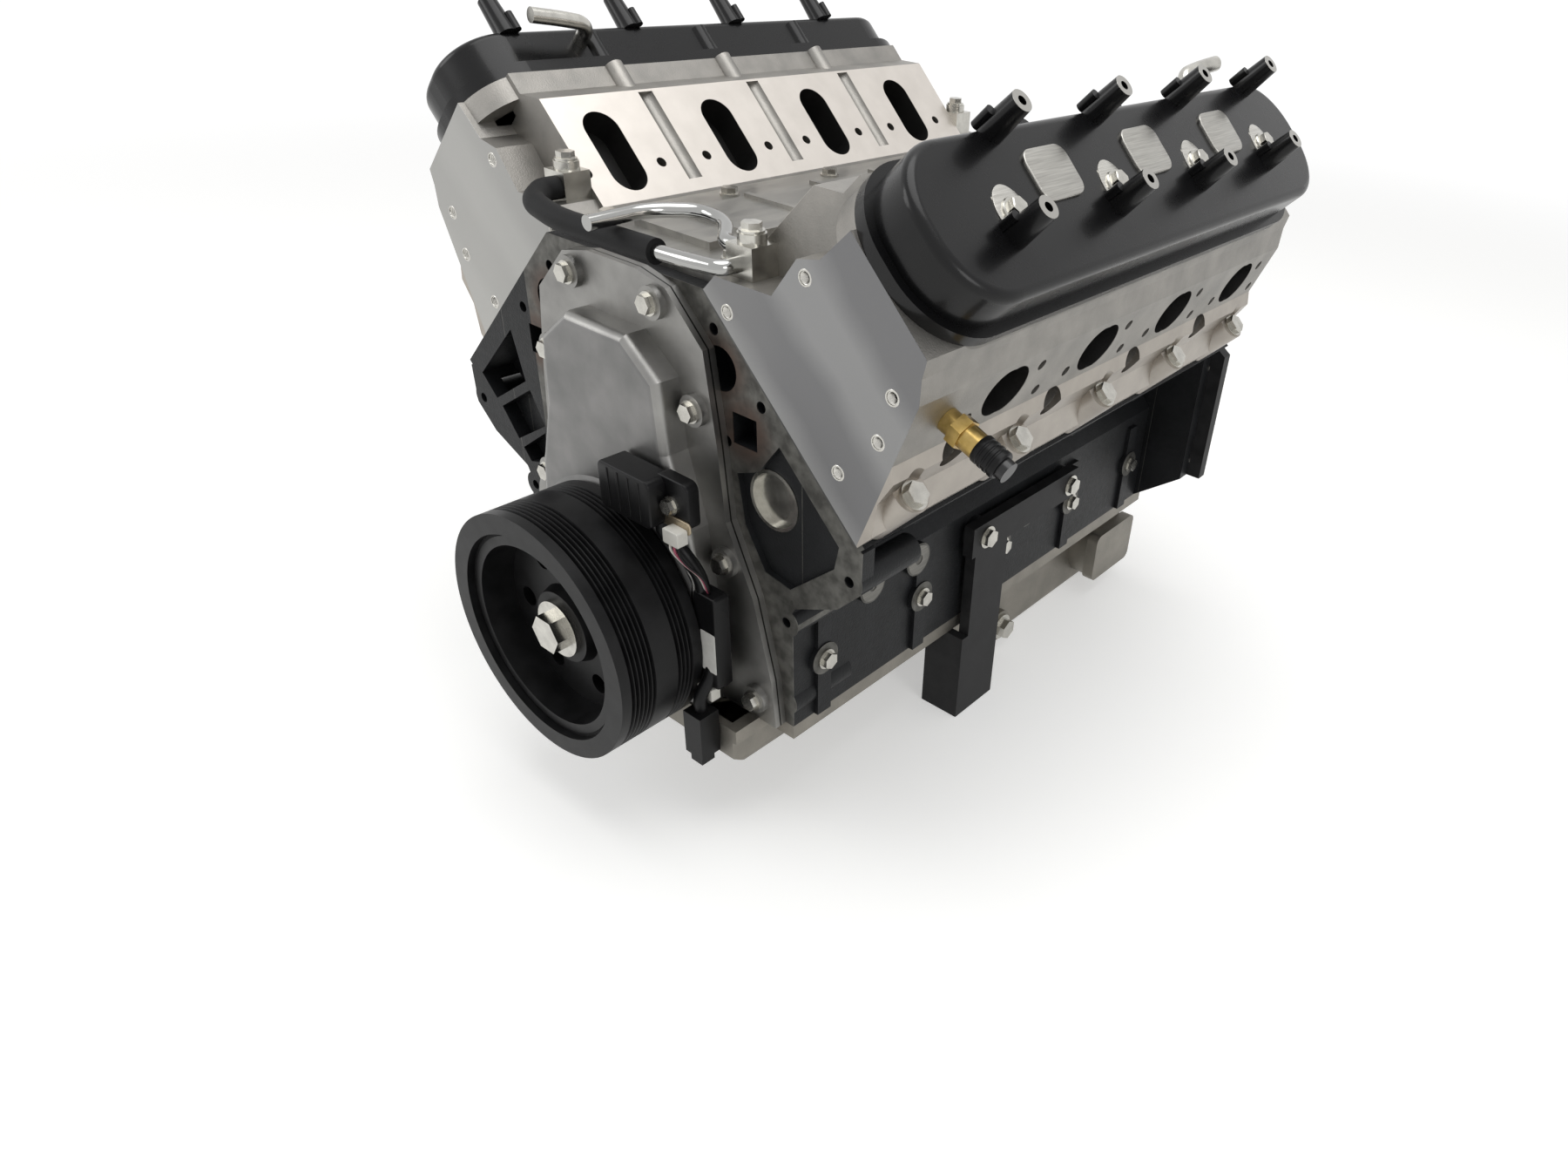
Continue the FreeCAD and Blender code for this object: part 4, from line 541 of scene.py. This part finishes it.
finishes = {
    "block": ["engine_block", "main_bearing_caps"],
    "head": ["cylinder_head_left", "cylinder_head_right"],
    "cover": ["valve_cover_left", "valve_cover_right"],
    "frontCover": ["front_cover"],
    "innerAluminium": ["oil_pump", "pistons", "rear_cover"],
    "plate": ["valley_cover"],
    "pan": ["oil_pan", "oil_filter_adapter_cover"],
    "zinc": ["side_bolts", "camshaft_retainer", "oil_pickup_tube", "windage_tray", "valve_cover_bolts",
             "head_bolts", "breather_tube_left", "breather_tube_right", "front_cover_bolts", "damper_bolt",
             "valley_cover_bolts", "drain_plug", "core_plugs", "stand_bolts", "rear_plate_bolts",
             "vent_blocks", "vent_block_bolts", "cam_sensor_bolt"],
    "chrome": ["steam_pipe"],
    "forged": ["crankshaft", "crank_sprocket", "cam_sprocket", "timing_chain", "camshaft", "wrist_pins",
               "connecting_rods", "valves", "valve_springs", "rocker_arms", "pushrods", "lifters"],
    "damper": ["damper_hub", "damper_inertia_ring"],
    "stand": ["mount_stand_left", "mount_stand_right", "rear_stand_plate"],
    "rubber": ["front_crank_seal", "rear_crank_seal", "damper_rubber_ring", "steam_hose"],
    "plastic": ["oil_pressure_sensor", "cam_sensor", "sensor_harness", "harness_connector"],
    "gasket": ["head_gasket_left", "head_gasket_right"],
    "brass": ["coolant_temperature_sensor"],
}


def dressNodes():
    for paint, names in finishes.items():
        for name in names:
            thing = nodes[name]
            if not thing.material_slots:
                thing.data.materials.append(paints[paint])
            for holder in thing.material_slots:
                holder.material = paints[paint]


dressNodes()
print("CAD nodes dressed")

# Modelling helpers

modelling = {"weld": 0.000001, "smoothAngle": 35.0, "cornerSteps": 7, "edgeSteps": 3, "turnedSides": 40,
             "ringSides": 56, "wirePull": 0.35}


def ready(piece, name):
    # Names a new piece and opens it for editing, all of it selected
    piece.name = name
    piece.data.name = name
    bpy.ops.object.mode_set(mode="EDIT")
    bpy.context.tool_settings.mesh_select_mode = (False, False, True)
    bpy.ops.mesh.select_all(action="SELECT")
    return piece


def finished(piece):
    # Welds the edited piece, turns its faces outward and leaves it smooth across slight bends
    bpy.ops.mesh.select_all(action="SELECT")
    bpy.ops.mesh.remove_doubles(threshold=modelling["weld"])
    bpy.ops.mesh.normals_make_consistent(inside=False)
    bpy.ops.object.mode_set(mode="OBJECT")
    bpy.ops.object.transform_apply(location=True, rotation=True, scale=True)
    bpy.ops.object.shade_smooth_by_angle(angle=math.radians(modelling["smoothAngle"]))
    return piece


def chooseEdges(piece, test):
    # Selects the edges of the piece being edited whose end points pass the test
    bpy.ops.mesh.select_all(action="DESELECT")
    bpy.ops.object.mode_set(mode="OBJECT")
    mesh = piece.data
    for edge in mesh.edges:
        edge.select = test([mesh.vertices[i].co for i in edge.vertices])
    bpy.ops.object.mode_set(mode="EDIT")
    bpy.ops.mesh.select_mode(type="EDGE")


def turned(name, profile, segments=modelling["turnedSides"], capped=True):
    # A turned piece: each step of the profile is (radius, height)
    bpy.ops.object.select_all(action="DESELECT")
    radius, height = profile[0]
    bpy.ops.mesh.primitive_circle_add(vertices=segments, radius=radius, location=(0, 0, height),
                                      fill_type="NGON" if capped else "NOTHING")
    piece = ready(bpy.context.object, name)
    if not capped:
        bpy.ops.mesh.select_mode(type="EDGE")
        bpy.ops.mesh.select_all(action="SELECT")
    for nextRadius, nextHeight in profile[1:]:
        step = {"value": (0, 0, nextHeight - height)}
        if capped:
            bpy.ops.mesh.extrude_region_move(TRANSFORM_OT_translate=step)
        else:
            bpy.ops.mesh.extrude_edges_move(TRANSFORM_OT_translate=step)
        factor = nextRadius / radius
        bpy.ops.transform.resize(value=(factor, factor, 1))
        radius, height = nextRadius, nextHeight
    return finished(piece)


def roundedPad(name, wide, long, thick, corner, edge):
    # A plate lying on the XY plane with rounded corners and a softened top edge
    bpy.ops.object.select_all(action="DESELECT")
    bpy.ops.mesh.primitive_cube_add(size=1, location=(0, 0, 0))
    piece = ready(bpy.context.object, name)
    bpy.ops.transform.resize(value=(wide, long, thick))
    bpy.ops.transform.translate(value=(0, 0, thick / 2))
    chooseEdges(piece, lambda points: abs(points[0].z - points[1].z) > thick / 2)
    bpy.ops.mesh.bevel(offset=corner, segments=modelling["cornerSteps"])
    chooseEdges(piece, lambda points: min(p.z for p in points) > thick - 0.00001)
    bpy.ops.mesh.bevel(offset=min(edge, thick / 2), segments=modelling["edgeSteps"])
    return finished(piece)


def ovalRing(name, inner, across, along, thick):
    # A flat oval ring with a round hole, softened at its outer edge
    bpy.ops.object.select_all(action="DESELECT")
    bpy.ops.mesh.primitive_circle_add(vertices=modelling["ringSides"], radius=inner, location=(0, 0, 0),
                                      fill_type="NOTHING")
    piece = ready(bpy.context.object, name)
    bpy.ops.mesh.select_mode(type="EDGE")
    bpy.ops.mesh.select_all(action="SELECT")
    bpy.ops.mesh.extrude_edges_move(TRANSFORM_OT_translate={"value": (0, 0, 0)})
    bpy.ops.transform.resize(value=(across / inner, along / inner, 1))
    bpy.ops.mesh.select_mode(type="FACE")
    bpy.ops.mesh.select_all(action="SELECT")
    bpy.ops.mesh.extrude_region_move(TRANSFORM_OT_translate={"value": (0, 0, thick)})
    chooseEdges(piece, lambda points: min(p.z for p in points) > thick / 2
                and min(p.xy.length for p in points) > inner * 1.04)
    bpy.ops.mesh.bevel(offset=thick * 0.45, segments=2)
    return finished(piece)


def tube(name, points, radius):
    # A smooth wire or tube through the given points
    bpy.ops.object.select_all(action="DESELECT")
    bpy.ops.curve.primitive_bezier_curve_add(location=(0, 0, 0))
    wire = bpy.context.object
    spline = wire.data.splines[0]
    spline.bezier_points.add(len(points) - 2)
    for index, point in enumerate(points):
        knot = spline.bezier_points[index]
        before = Vector(points[max(index - 1, 0)])
        after = Vector(points[min(index + 1, len(points) - 1)])
        pull = (after - before) * modelling["wirePull"] * 0.5
        knot.handle_left_type = knot.handle_right_type = "FREE"
        knot.co = point
        knot.handle_left = Vector(point) - pull
        knot.handle_right = Vector(point) + pull
    wire.data.bevel_depth = radius
    wire.data.bevel_resolution = 3
    wire.data.use_fill_caps = True
    bpy.ops.object.convert(target="MESH")
    return finished(ready(bpy.context.object, name))


def put(piece, matrix):
    # Writes the place into the mesh, so the finished object sits at the origin
    bpy.ops.object.select_all(action="DESELECT")
    piece.select_set(True)
    bpy.context.view_layer.objects.active = piece
    piece.matrix_world = matrix
    bpy.ops.object.transform_apply(location=True, rotation=True, scale=True)
    return piece


def mount(piece, paint, body):
    # Paints a piece and lets it ride on a body, with the slot of the part's finish that it takes
    piece.data.materials.clear()
    piece.data.materials.append(paints[paint])
    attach(piece, body)
    return piece


def row(name, model, matrices, paint, body):
    # Copies one model to several places, each with its own mesh; the model itself takes the last place
    for index, matrix in enumerate(matrices):
        last = index == len(matrices) - 1
        piece = model
        if not last:
            piece = model.copy()
            piece.data = model.data.copy()
            bpy.context.scene.collection.objects.link(piece)
        piece.name = "%s_%02d" % (name, index + 1)
        mount(put(piece, matrix), paint, body)


# Plain pads on the right cover, in the places of its three raised letters

coverPads = {"across": -0.066, "wide": 0.034, "long": 0.044, "thick": 0.0022, "corner": 0.009, "edge": 0.0008}


def makeCoverPads():
    model = roundedPad("cover_pad", coverPads["wide"], coverPads["long"], coverPads["thick"],
                       coverPads["corner"], coverPads["edge"])
    places = [bankMatrix(1, coverPads["across"], (step - 1) * bank["pitch"], bank["coverTop"])
              for step in range(3)]
    row("cover_pad", model, places, "badge", "engine")


# Oval seat plates over the recesses of the cover bolts, with a raised flange and hexagon head on each

boltRecess = {"inner": 0.0070, "across": 0.0170, "along": 0.0135, "thick": 0.0006}
coverBolt = {
    "lift": 0.00055,
    "hexSides": 6,
    "flange": ((0.0084, 0.0), (0.0084, 0.0008), (0.0078, 0.0016), (0.0066, 0.0019)),
    "head": ((0.0064, 0.0), (0.0064, 0.0061), (0.0056, 0.0066)),
}


def makeBoltRecesses():
    model = ovalRing("bolt_recess", boltRecess["inner"], boltRecess["across"], boltRecess["along"],
                     boltRecess["thick"])
    alongs = [(step - 1.5) * bank["pitch"] + bank["boltShift"] for step in range(4)]
    places = [bankMatrix(side, bank["boltLine"], along, bank["coverTop"])
              for side in (1, -1) for along in alongs]
    row("bolt_recess", model, places, "machined", "engine")
    raised = [place @ Matrix.Translation((0, 0, coverBolt["lift"])) for place in places]
    flange = turned("cover_bolt_flange", coverBolt["flange"])
    row("cover_bolt_flange", flange, raised, "zinc", "engine")
    head = turned("cover_bolt_head", coverBolt["head"], coverBolt["hexSides"])
    row("cover_bolt_head", head, raised, "zinc", "engine")


# Machined ring faces on the side pads of the block

padRings = {"places": ((-0.392, 0.028), (-0.446, 0.029)), "out": 0.1550, "hole": 0.0042, "outer": 0.0125,
            "thick": 0.0004}


def makePadRings():
    model = ovalRing("pad_ring", padRings["hole"], padRings["outer"], padRings["outer"], padRings["thick"])
    places = []
    for side in (1, -1):
        sideways = Matrix.Rotation(quarter * side, 4, "Y")
        places += [Matrix.Translation((side * padRings["out"], along, up)) @ sideways
                   for along, up in padRings["places"]]
    row("pad_ring", model, places, "ironFace", "engine")


# Thin webs that close the two lower pockets of the left wing: (x, z, long, wide, lean in degrees)

wingWebs = {"thick": 0.0015, "front": -0.5114, "corner": 0.003, "edge": 0.0003,
            "places": ((-0.14575, 0.09225, 0.054, 0.032, 32.1), (-0.13525, 0.06450, 0.046, 0.030, 35.2))}


def makeWingWebs():
    for index, (x, z, long, wide, lean) in enumerate(wingWebs["places"]):
        piece = roundedPad("wing_web_%d" % (index + 1), long, wide, wingWebs["thick"], wingWebs["corner"],
                           wingWebs["edge"])
        place = facingFront((x, wingWebs["front"], z)) @ Matrix.Rotation(math.radians(lean), 4, "Z")
        mount(put(piece, place), "block", "engine")


# Bright chamfers and threads in the tapped holes of the head fronts, whose places are (across, up)

frontHoles = {"radius": 0.004, "rim": 0.0012, "proud": 0.0002, "pitch": 0.0011, "turns": 6, "deep": 0.0006,
              "places": ((-0.079, 0.316), (-0.099, 0.244), (0.004, 0.327), (0.019, 0.299), (0.019, 0.256))}


def threadProfile():
    radius, rim, proud = frontHoles["radius"], frontHoles["rim"], frontHoles["proud"]
    crest, root = radius - 0.0001, radius - frontHoles["deep"]
    profile = [(radius + rim, 0.00001), (radius + rim * 0.8, proud), (radius + 0.0001, proud),
               (crest, -0.0004)]
    for turn in range(frontHoles["turns"]):
        depth = -0.0006 - turn * frontHoles["pitch"]
        profile += [(root, depth), (crest, depth - frontHoles["pitch"] / 2)]
    return profile


def makeFrontThreads():
    model = turned("front_thread", threadProfile(), 32, False)
    places = [facingFront(bankPoint(side, across, -bank["headReach"] * side, up))
              for side in (1, -1) for across, up in frontHoles["places"]]
    row("front_thread", model, places, "machined", "engine")


# Black plug with three grooves on the temperature sensor; lengths run outward from the plug's base,
# which is set back from the middle of the sensor

sensorPlug = {"start": 0.0270, "end": 0.0450, "radius": 0.0094, "edge": 0.001, "setBack": 0.025,
              "grooves": 3, "grooveStep": 0.004, "grooveDeep": 0.0006}


def makeSensorPlug():
    body, groove = sensorPlug["radius"], sensorPlug["radius"] - sensorPlug["grooveDeep"]
    start, end, edge = sensorPlug["start"], sensorPlug["end"], sensorPlug["edge"]
    profile = [(body - 0.0007, start), (body, start + edge)]
    for step in range(sensorPlug["grooves"]):
        lift = start + sensorPlug["grooveStep"] * (step + 1)
        profile += [(body, lift), (groove, lift + 0.0005), (groove, lift + 0.0015), (body, lift + 0.002)]
    profile += [(body, end - edge), (body - 0.0008, end)]
    low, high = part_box("coolant_temperature_sensor")
    outward = Vector(bank["outward"]).normalized()
    base = (low + high) / 2 - outward * sensorPlug["setBack"]
    turn = outward.to_track_quat("Z", "Y").to_matrix().to_4x4()
    piece = put(turned("temperature_sensor_plug", profile), Matrix.Translation(base) @ turn)
    mount(piece, "plastic", "engine")


# Cam sensor housing, bracket, plug and wires, and the sleeve, label and clips of the harness.
# Each pad is given by the middle of its back face, which looks to the rear

camHousing = {"back": (0.0500, -0.5590, 0.1165), "wide": 0.052, "tall": 0.035, "deep": 0.0205,
              "corner": 0.005, "edge": 0.0012}
camLug = {"back": (0.0820, -0.5565, 0.1180), "wide": 0.032, "tall": 0.034, "deep": 0.0095,
          "corner": 0.006, "edge": 0.0012}
camRib = {"back": (0.0340, -0.5792, 0.1165), "wide": 0.0022, "tall": 0.029, "deep": 0.0008,
          "corner": 0.0008, "edge": 0.0003, "step": 0.0105, "number": 4}
sleeve = {"back": (0.0985, -0.5460, 0.010), "wide": 0.022, "tall": 0.078, "deep": 0.013,
          "corner": 0.003, "edge": 0.0015}
harnessLabel = {"back": (0.1010, -0.5591, 0.002), "wide": 0.0145, "tall": 0.034, "deep": 0.0003,
                "corner": 0.001, "edge": 0.0001}
clip = {"back": (0.0920, -0.5545, -0.0345), "wide": 0.0042, "tall": 0.0100, "deep": 0.0080,
        "corner": 0.0008, "edge": 0.0006, "step": 0.0056, "number": 3}
sensorBracket = {"back": (0.0850, -0.5662, 0.1040), "wide": 0.030, "tall": 0.009, "deep": 0.0012,
                 "corner": 0.003, "edge": 0.0004}
whitePlug = {"back": (0.0900, -0.5676, 0.0980), "wide": 0.015, "tall": 0.011, "deep": 0.0085,
             "corner": 0.0015, "edge": 0.0006}
# Points of the first wire and, last in each, the distance to the next wire
sensorWires = {"paints": ("white", "pink", "plastic"), "radius": 0.0009,
               "path": ((0.0860, -0.5720, 0.0935, 0.004), (0.0870, -0.5735, 0.0870, 0.004),
                        (0.0940, -0.5700, 0.0780, 0.002), (0.0970, -0.5600, 0.0640, 0.002),
                        (0.0965, -0.5540, 0.0480, 0.002))}


def padOf(name, values):
    return roundedPad(name, values["wide"], values["tall"], values["deep"], values["corner"], values["edge"])


def frontPad(name, values, paint):
    return mount(put(padOf(name, values), facingFront(values["back"])), paint, "engine")


def frontPadRow(name, values, paint):
    x, y, z = values["back"]
    matrices = [facingFront((x + step * values["step"], y, z)) for step in range(values["number"])]
    row(name, padOf(name, values), matrices, paint, "engine")


def makeHarnessTrim():
    for name, values in (("cam_sensor_housing", camHousing), ("cam_sensor_lug", camLug)):
        frontPad(name, values, "plastic")
    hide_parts("cam_sensor")
    frontPadRow("cam_sensor_rib", camRib, "plastic")
    frontPad("harness_sleeve", sleeve, "plastic")
    frontPad("harness_label", harnessLabel, "label")
    frontPadRow("harness_clip", clip, "white")
    frontPad("sensor_bracket", sensorBracket, "tan")
    frontPad("sensor_plug", whitePlug, "white")
    for step, paint in enumerate(sensorWires["paints"]):
        path = [(x + step * apart, y, z) for x, y, z, apart in sensorWires["path"]]
        mount(tube("sensor_wire_%d" % (step + 1), path, sensorWires["radius"]), paint, "engine")


makeCoverPads()
makeBoltRecesses()
makePadRings()
makeWingWebs()
makeFrontThreads()
makeSensorPlug()
makeHarnessTrim()
print("trim pieces")

# Stage, light and camera

stageFinish = {"floor": "#e6e6e4", "reach": 40.0, "low": -0.16, "gap": 0.0004, "glow": 0.4, "fadeStart": 1.2,
               "fadeEnd": 3.5}
white = (1, 1, 1, 1)
black = (0, 0, 0, 1)


def seenRays(tree):
    # 1 for what the camera sees, straight, in a reflection or through a clear piece, and 0 for other light
    path = addNode(tree, "ShaderNodeLightPath")
    rays = ("Is Camera Ray", "Is Glossy Ray", "Is Transmission Ray")
    return anyOf(tree, *(path.outputs[ray] for ray in rays))


def makeStage():
    # Matt white floor that glows a little near the engine and fades into the white behind it
    bpy.ops.object.select_all(action="DESELECT")
    bpy.ops.mesh.primitive_plane_add(size=2 * stageFinish["reach"],
                                     location=(0, 0, stageFinish["low"] - stageFinish["gap"]))
    floor = bpy.context.object
    floor.name = "floor"
    material, tree, shader, place = startMaterial("matt_white_floor", stageFinish["floor"], 0.0, 0.9)
    reach = vectorMeasure(tree, "LENGTH", place)
    far = mapRange(tree, reach, stageFinish["fadeStart"], stageFinish["fadeEnd"], 0.0, 1.0, "SMOOTHSTEP")
    tint(tree, shader, blendColour(tree, far, linear(stageFinish["floor"]), black))
    brightness = compute(tree, "MULTIPLY_ADD", far, 1 - stageFinish["glow"], stageFinish["glow"])
    glow = addNode(tree, "ShaderNodeEmission", {}, {
        "Color": white, "Strength": allOf(tree, seenRays(tree), brightness)})
    both = addNode(tree, "ShaderNodeAddShader", {}, {0: shader.outputs[0], 1: glow.outputs[0]})
    output = next(node for node in tree.nodes if node.type == "OUTPUT_MATERIAL")
    tree.links.new(both.outputs[0], output.inputs["Surface"])
    floor.data.materials.append(material)


studio = {"lighting": 0.4, "seen": 1.0}


def makeWorld():
    # White all round for the eye and a softer white as light
    world = bpy.data.worlds.new("studio")
    bpy.context.scene.world = world
    world.use_nodes = True
    tree = world.node_tree
    tree.nodes.clear()
    strength = mapRange(tree, seenRays(tree), 0.0, 1.0, studio["lighting"], studio["seen"])
    sky = addNode(tree, "ShaderNodeBackground", {}, {"Color": white, "Strength": strength})
    addNode(tree, "ShaderNodeOutputWorld", {}, {"Surface": sky.outputs[0]})


lamps = {
    "overhead": {"place": (0.2, -0.3, 2.4), "aim": (0, -0.3, 0), "size": 2.2, "watts": 34},
    "frontLeft": {"place": (-1.8, -2.2, 1.5), "aim": (0, -0.4, 0.1), "size": 1.4, "watts": 16},
    "right": {"place": (2.6, -0.9, 1.0), "aim": (0.1, -0.3, 0.1), "size": 1.2, "watts": 12},
}


def makeLamps():
    for name, values in lamps.items():
        data = bpy.data.lights.new(name, "AREA")
        data.shape = "DISK"
        data.size = values["size"]
        data.energy = values["watts"]
        lamp = bpy.data.objects.new(name, data)
        lamp.location = values["place"]
        aim = Vector(values["aim"]) - Vector(values["place"])
        lamp.rotation_euler = aim.to_track_quat("-Z", "Y").to_euler()
        bpy.context.scene.collection.objects.link(lamp)


# Solved from the ports, bolts and posts that repeat at the bore spacing. Focal length and centre are in
# pixels of the frame, the sensor in millimetres

cameraView = {
    "place": (0.5840, -0.9585, 0.4658),
    "rightward": (0.79111, 0.60752, 0.07115),
    "forward": (-0.4823, 0.6911, -0.5383),
    "focal": 1232.0,
    "centre": (1093.7, 665.4),
    "frame": (1800, 1350),
    "sensor": 36.0,
    "nearest": 0.01,
}


def makeCamera():
    data = bpy.data.cameras.new("camera")
    data.sensor_width = cameraView["sensor"]
    width, height = cameraView["frame"]
    data.lens = cameraView["focal"] / width * cameraView["sensor"]
    data.shift_x = (width / 2 - cameraView["centre"][0]) / width
    data.shift_y = (cameraView["centre"][1] - height / 2) / width
    data.clip_start = cameraView["nearest"]
    camera = bpy.data.objects.new("camera", data)
    forward = Vector(cameraView["forward"]).normalized()
    right = Vector(cameraView["rightward"])
    right = (right - forward * right.dot(forward)).normalized()
    turn = Matrix((right, right.cross(forward), -forward)).transposed()
    camera.matrix_world = Matrix.Translation(cameraView["place"]) @ turn.to_4x4()
    bpy.context.scene.collection.objects.link(camera)
    bpy.context.scene.camera = camera


makeStage()
makeWorld()
makeLamps()
makeCamera()
bpy.context.scene.view_settings.view_transform = "Standard"
print("stage, lamps and camera")
